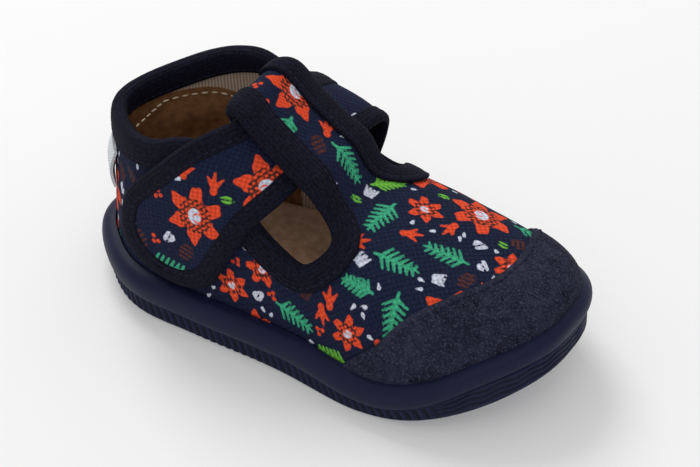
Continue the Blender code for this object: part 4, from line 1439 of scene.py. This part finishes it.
def tape_row(w, off):
    """Line along the topline at one place of the tape's shape, with both ends rolled under."""
    row = walk(EDGE, into_wall(EDGE) * np.sign(w), abs(w))
    start, stop = round_fold(row, FOLD_TURNS[:TAPE_TURNS])
    return upper_wall(np.vstack([start, row, stop]), off)


tape_rings = np.stack([tape_row(w, off) for w, off in TAPE_SHAPE], 1)
tape_map = ring_map(tape_rings)[:, ::-1]
binding = piece("binding_tape", *swept(tape_rings), [TAPE_CLOTH], tape_map)
belongs(binding, "binding", "binding")

# %% [markdown]
# ## Strap
# The strap is a printed panel with its own tape round it. It is sewn low on the inner side, passes under
# the T-bar's loop and fastens with a broad round tab on the outer side, so it is laid on the last a
# little higher. One line of stations gives place, half breadth and height, so that panel, tape and
# stitches agree.

# %% Strap line
STRAP_LINE = [
    # place ("side" gives x, z and "top" gives x, y), outer side is -1, inner side is +1
    ("side", 1, -14.6, 30.0),
    ("side", 1, -13.8, 40.0),
    ("top", 1, -12.6, 17.0),
    ("top", 1, -11.8, 6.0),
    ("top", -1, -12.1, 6.0),
    ("top", -1, -14.8, 16.0),
    ("side", -1, -22.4, 46.3),
    ("side", -1, -31.0, 34.4),
    ("side", -1, -40.4, 18.0),
]
STRAP_HALF, STRAP_TAB_HALF, STRAP_CORNER, STRAP_ROUND = 11.5, 17.2, 19.0, 2.3
STRAP_FLARE_FROM, STRAP_FLARE_TO = 52.0, 14.0
STRAP_THICK, STRAP_PILLOW, STRAP_TAPE_WIDTH, STRAP_TUCK, STRAP_STEP = 1.6, 0.25, 5.8, 0.9, 0.8
STRAP_SEWN_FLY, STRAP_FLY, STRAP_FLY_FROM, STRAP_FLY_RUN = 0.25, 1.7, 2.0, 6.0
STRAP_BULGE, STRAP_BULGE_FROM, STRAP_BULGE_TO = 5.5, 1.0, 25.0
STRAP_LOOK = 0.3
STRAP_PLACES = [find(s, a, z=b) if k == "side" else find(s, a, y=b * s) for k, s, a, b in STRAP_LINE]
STRAP_DENSE = through(STRAP_PLACES, 60)
STRAP_RUN = run_along(last(STRAP_DENSE))
print("strap:", round(float(STRAP_RUN[-1]), 1), "mm along its middle")


def strap_at(run):
    return np.column_stack([np.interp(run, STRAP_RUN, STRAP_DENSE[:, k]) for k in range(2)])


def strap_line(inset, step=STRAP_STEP, corner_steps=41):
    """Stations for an outline moved in: pattern place, half breadth, direction to the toe, height."""
    straight = STRAP_RUN[-1] - STRAP_CORNER
    turn = np.linspace(0, np.pi / 2, corner_steps)
    at = np.concatenate([np.linspace(0, straight, int(round(straight / step)), endpoint=False),
                         straight + (STRAP_CORNER - inset) * np.sin(turn) ** (2 / STRAP_ROUND)])
    left = STRAP_RUN[-1] - at
    flare = np.clip((STRAP_FLARE_FROM - left) / (STRAP_FLARE_FROM - STRAP_FLARE_TO), 0, 1)
    half = STRAP_HALF + (STRAP_TAB_HALF - STRAP_HALF) * flare - inset
    half[-corner_steps:] *= np.abs(np.cos(turn)) ** (2 / STRAP_ROUND)
    path = strap_at(at)
    side = across_path(path, strap_at(at + STRAP_LOOK) - strap_at(at - STRAP_LOOK))
    bulge = np.clip((at - STRAP_BULGE_FROM) / (STRAP_BULGE_TO - STRAP_BULGE_FROM), 0, 1)
    fly = STRAP_SEWN_FLY + (STRAP_FLY - STRAP_SEWN_FLY) * ease((at - STRAP_FLY_FROM) / STRAP_FLY_RUN)
    return path, half, side, fly + STRAP_BULGE * np.sin(np.pi * bulge) ** 2


# %% Strap panel
PANEL_STEP, PANEL_CORNER_STEPS, PANEL_ROWS, PANEL_LOW = 0.5, 61, 57, 0.1
PANEL_PRINT, PANEL_SEED = 0.3, 5
SIDE_STEPS = 6


def make_strap():
    stations = strap_line(STRAP_TAPE_WIDTH - STRAP_TUCK, PANEL_STEP, PANEL_CORNER_STEPS)
    path, half, side, rise = [row[:-1] for row in stations]
    shares = np.linspace(-1, 1, PANEL_ROWS)
    count = len(path)
    at = walk(np.tile(path, (len(shares), 1)), np.vstack([side * (-1 if s < 0 else 1) for s in shares]),
              np.concatenate([abs(s) * half for s in shares]), SIDE_STEPS)
    pillow = np.concatenate([rise + STRAP_THICK + STRAP_PILLOW * (1 - s * s) for s in shares])
    top = on_last(at, pillow).reshape(-1, count, 3)
    under = on_last(at, np.tile(rise + PANEL_LOW, len(shares))).reshape(-1, count, 3)
    return np.concatenate([top, under[::-1]]).transpose(1, 0, 2)


strap_rings = make_strap()
strap_points, strap_faces = swept(strap_rings)
corners = np.array([(f[0], f[1], f[2]) for f in strap_faces] + [(f[0], f[2], f[3]) for f in strap_faces])
strap_marks = strew(strap_points, point_normals(strap_points, corners), PANEL_PRINT, PANEL_SEED)
strap = piece("strap_panel", strap_points, strap_faces, [CANVAS], ring_map(strap_rings), strap_marks)
belongs(strap, "strap", "strap")

# %% Strap tape
STRAP_TAPE_SHAPE = [
    # distance in from the strap's outline, height above its underside
    (5.8, 1.2), (5.8, 1.8), (5.4, 2.06), (5.1, 2.12), (4.6, 1.98), (4.1, 2.16), (3.0, 2.32), (1.8, 2.28),
    (0.9, 2.05), (0.35, 1.6), (0.02, 1.0), (0.1, 0.4), (0.6, 0.05), (1.6, 0.0), (5.6, 0.0), (5.8, 0.5),
]


def strap_edge(inset, off):
    path, half, side, rise = strap_line(inset)
    edge = np.vstack([walk(path, -side, half, SIDE_STEPS), walk(path, side, half, SIDE_STEPS)[-2::-1]])
    return on_last(edge, np.concatenate([rise, rise[-2::-1]]) + off)


strap_tape_rings = np.stack([strap_edge(inset, off) for inset, off in STRAP_TAPE_SHAPE], 1)
strap_tape_map = ring_map(strap_tape_rings)[:, ::-1]
strap_tape = piece("strap_tape", *swept(strap_tape_rings), [TAPE_CLOTH], strap_tape_map)
belongs(strap_tape, "strap_binding", "strap_binding")

# %% [markdown]
# ## Toe cap
# A cap of grey suede is laid over the toe with a raw edge. It is cut on the pattern, thickened, and
# thinned to a soft round at its border. Solidify would leave it equally thick up to the edge, which looks
# like plastic.

# %% Lay the toe cap
CAP = np.array([
    # x, y of the rear edge, from the outer side over the toe to the inner side
    [29.5, -30.0],
    [35.7, -25.0],
    [42.9, -16.5],
    [48.0, -7.0],
    [49.8, 3.0],
    [48.6, 14.0],
    [44.8, 23.5],
    [39.0, 29.0],
])
CAP_FOOT_OUTER, CAP_FOOT_INNER = 20.0, 33.0
CAP_GAP, CAP_THICK, CAP_FOOT = 0.15, 1.3, -0.3
CAP_STEP, CAP_CLEAR, CAP_ROUND = 1.2, 0.7, 1.3


def rim_angle(side, x):
    angles = np.linspace(0, np.pi, 2001)
    return -side * float(np.interp(-x, -profile(-side * angles)[0], angles))


def cap_borders():
    rear = through([find(-1.0 if y < 0 else 1.0, x, y=y) for x, y in CAP], 20)
    angles = np.linspace(rim_angle(1, CAP_FOOT_INNER), rim_angle(-1, CAP_FOOT_OUTER), 400)
    foot = spaced(pattern_of(angles, CAP_FOOT / profile_length(profile(angles))), last, CAP_STEP)
    return foot, spaced(np.vstack([foot[-1], rear, foot[0]]), last, CAP_STEP)


def make_cap(foot, rear):
    loop = np.vstack([foot, rear[1:-1]])
    spread = even_spread(loop.min(0), loop.max(0), CAP_STEP)
    flat, tris = cut_cloth([loop], clear_of(spread[inside(spread, loop)], [loop], CAP_CLEAR))
    edge = np.linalg.norm(flat[:, None] - rear[None], axis=2).min(1)
    thick = CAP_THICK * np.sqrt(1 - (1 - np.clip(edge / CAP_ROUND, 0.12, 1.0)) ** 2)
    count = len(flat)
    wall = [f for a, b in rims(tris) for f in ((b, a, a + count), (b, a + count, b + count))]
    faces = np.vstack([tris, tris[:, ::-1] + count, np.array(wall)])
    return np.vstack([on_last(flat, CAP_GAP + thick), on_last(flat, np.full(count, CAP_GAP))]), faces


cap_foot, cap_rear = cap_borders()
cap = piece("toe_cap_suede", *make_cap(cap_foot, cap_rear), [SUEDE], keen=70)
belongs(cap, "toe_cap", "toe_cap")

# %% [markdown]
# ## Heel ribbon
# A white ribbon is sewn on the heel at both ends and stands off a little between them. Rows of points
# across it make a thin bent strip, which is all it needs besides its weave.

# %% Sew on the ribbon
LABEL_ANGLE, LABEL_WIDTH, LABEL_LOW, LABEL_HIGH = 24.0, 11.0, 30.0, 40.6
LABEL_THICK, LABEL_GAP, LABEL_STAND = 0.8, 0.2, 1.1
LABEL_ROWS, LABEL_POINTS = 25, 9


def make_label():
    angle = np.pi - np.radians(LABEL_ANGLE)
    sec = profile(np.array([angle]))
    rows = []
    for z in np.linspace(LABEL_LOW, LABEL_HIGH, LABEL_ROWS):
        b = (z - sec[2]) / (sec[5] - sec[2])
        at = pattern_of(angle, np.arctan2(b, (1 - b ** sec[6]) ** (1 / sec[6])) / (np.pi / 2))
        level = np.cross(tangents(at)[3], np.array([0.0, 0.0, 1.0]))
        stand = LABEL_GAP + LABEL_STAND * np.sin(np.pi * (z - LABEL_LOW) / (LABEL_HIGH - LABEL_LOW))
        across = np.vstack([walk(at, level * (1 if s > 0 else -1), abs(s) * LABEL_WIDTH / 2)
                            for s in np.linspace(1, -1, LABEL_POINTS)])
        inner, face = (np.full(LABEL_POINTS, height) for height in (stand, stand + LABEL_THICK))
        rows.append(np.vstack([on_last(across, inner), on_last(across[::-1], face)]))
    return np.stack(rows)


label_rings = make_label()
label = piece("heel_ribbon", *swept(label_rings), [RIBBON], ring_map(label_rings), keen=50)
belongs(label, "heel_label", "heel_label")

# %% [markdown]
# ## Stitches
# Each seam is a line of short round threads. A line of points becomes a curve, the curve gives evenly
# spaced places, and a small rounded thread is set at each, turned along the seam. The thread's length
# varies a little. Geometry Nodes suit this, because one small shape repeats along a path.

# %% Row of stitches
SHORTEST, LONGEST = 0.88, 1.08


def make_stitch_tree():
    tree = bpy.data.node_groups.new("row of stitches", "GeometryNodeTree")
    for text, kind in (("Line", "Geometry"), ("Pitch", "Float"), ("Length", "Float"), ("Thread", "Float"),
                       ("Seed", "Int"), ("Material", "Material")):
        tree.interface.new_socket(text, in_out="INPUT", socket_type="NodeSocket" + kind)
    tree.interface.new_socket("Stitches", in_out="OUTPUT", socket_type="NodeSocketGeometry")
    add, link = tree.nodes.new, tree.links.new
    take, give = add("NodeGroupInput").outputs, add("NodeGroupOutput").inputs
    curve, places = add("GeometryNodeMeshToCurve"), add("GeometryNodeCurveToPoints")
    places.mode = "LENGTH"
    thread, sizes = add("GeometryNodeMeshUVSphere"), add("ShaderNodeCombineXYZ")
    for text, value in (("Segments", 6), ("Rings", 5), ("Radius", 0.5)):
        thread.inputs[text].default_value = value
    shaped, laid = add("GeometryNodeTransform"), add("GeometryNodeInstanceOnPoints")
    vary = add("FunctionNodeRandomValue")
    vary.data_type = "FLOAT"
    vary.inputs[2].default_value, vary.inputs[3].default_value = SHORTEST, LONGEST
    link(take["Line"], curve.inputs["Mesh"])
    link(curve.outputs["Curve"], places.inputs["Curve"])
    link(take["Pitch"], places.inputs["Length"])
    link(take["Thread"], sizes.inputs[0])
    link(take["Thread"], sizes.inputs[1])
    link(take["Length"], sizes.inputs[2])
    link(thread.outputs["Mesh"], shaped.inputs["Geometry"])
    link(sizes.outputs[0], shaped.inputs["Scale"])
    link(take["Seed"], vary.inputs["Seed"])
    link(places.outputs["Points"], laid.inputs["Points"])
    link(shaped.outputs["Geometry"], laid.inputs["Instance"])
    link(places.outputs["Rotation"], laid.inputs["Rotation"])
    link(vary.outputs[1], laid.inputs["Scale"])
    made = laid.outputs["Instances"]
    for kind in ("RealizeInstances", "SetShadeSmooth", "SetMaterial"):
        step = add("GeometryNode" + kind)
        link(made, step.inputs["Geometry"])
        made = step.outputs["Geometry"]
    link(take["Material"], step.inputs["Material"])
    link(made, give["Stitches"])
    return tree


STITCHES = make_stitch_tree()
print("stitch tree:", len(STITCHES.nodes), "nodes")

# %% Sewing along lines
STITCH_INPUTS = {i.name: i.identifier for i in STITCHES.interface.items_tree if i.in_out == "INPUT"}
print("a row of stitches takes", list(STITCH_INPUTS))


def sew(name, lines, material, pitch, length, thread, seed):
    """Stitches along lines of points in millimetres, as one plain mesh."""
    mesh = bpy.data.meshes.new(name)
    edges, start = [], 0
    for line in lines:
        edges += [(start + i, start + i + 1) for i in range(len(line) - 1)]
        start += len(line)
    mesh.from_pydata((np.vstack(lines) * MM).tolist(), edges, [])
    obj = bpy.data.objects.new(name, mesh)
    scene.collection.objects.link(obj)
    modifier = obj.modifiers.new("stitches", "NODES")
    modifier.node_group = STITCHES
    for text, value in (("Pitch", pitch * MM), ("Length", length * MM), ("Thread", thread * MM),
                        ("Seed", seed), ("Material", material)):
        modifier[STITCH_INPUTS[text]] = value
    made = bpy.data.meshes.new_from_object(obj.evaluated_get(bpy.context.evaluated_depsgraph_get()))
    obj.modifiers.remove(modifier)
    obj.data = made
    print(name, len(made.polygons), "faces")
    return obj


# %% Sew the tapes and the cap
STITCH = {"pitch": 2.2, "length": 1.7}
SEAM_POINTS, SEAM_ABOVE = 24, 0.05
END_ROWS = (1.8, 3.6)
CAP_SEAM_IN, CAP_SEAM_ABOVE, CAP_SEAM_ENDS = 2.0, 1.5, 3


def strap_across(run):
    """Line across the panel near the strap's sewn end."""
    station = [row[[round(run / STRAP_STEP)]] for row in strap_line(STRAP_TAPE_WIDTH)]
    path, half, side, rise = [np.repeat(row, SEAM_POINTS, axis=0) for row in station]
    shares = np.linspace(-1, 1, SEAM_POINTS)
    at = walk(path, side * np.where(shares < 0, -1, 1)[:, None], np.abs(shares) * half, SIDE_STEPS)
    return on_last(at, rise + STRAP_THICK + STRAP_PILLOW * (1 - shares**2) + SEAM_ABOVE)


def cap_line():
    """Line beside the cap's rear edge."""
    inward = into_wall(cap_rear)
    inward *= np.sign(inward[:, 0].mean())
    kept = slice(CAP_SEAM_ENDS, -CAP_SEAM_ENDS)
    at = walk(cap_rear[kept], inward[kept], CAP_SEAM_IN)
    return on_last(at, np.full(len(at), CAP_SEAM_ABOVE))


tape_rows = [tape_row(5.1, 1.12), tape_row(5.1, -2.74)]
tape_seam = sew("binding_stitches", tape_rows, DARK_THREAD, thread=0.42, seed=1, **STITCH)
belongs(tape_seam, "binding")
strap_rows = [strap_edge(4.6, 2.02)] + [strap_across(run) for run in END_ROWS]
strap_seam = sew("strap_stitches", strap_rows, DARK_THREAD, thread=0.42, seed=2, **STITCH)
belongs(strap_seam, "strap_binding")
cap_seam = sew("toe_cap_stitches", [cap_line()], DARK_THREAD, thread=0.5, seed=3, **STITCH)
belongs(cap_seam, "toe_cap")


# %% Sew the heel counter
COUNTER_SEAM_FROM, COUNTER_SEAM_TO, COUNTER_SEAM_POINTS = -60.5, -27.0, 60
COUNTER_SEAM_BELOW, COUNTER_SEAM_INSIDE = 1.8, 0.15


def counter_line(side):
    xs = np.linspace(COUNTER_SEAM_FROM, COUNTER_SEAM_TO, COUNTER_SEAM_POINTS)
    return np.array([find(side, x, z=float(faired(COUNTER, 1, x)) - COUNTER_SEAM_BELOW) for x in xs])


arch = np.vstack([counter_line(-1)[::-1], counter_line(1)])
counter_row = on_last(arch, np.full(len(arch), -WALL - COUNTER_SEAM_INSIDE))
counter_seam = sew("counter_stitches", [counter_row], CREAM_THREAD, 2.6, 1.9, thread=0.55, seed=4)
belongs(counter_seam, "upper")
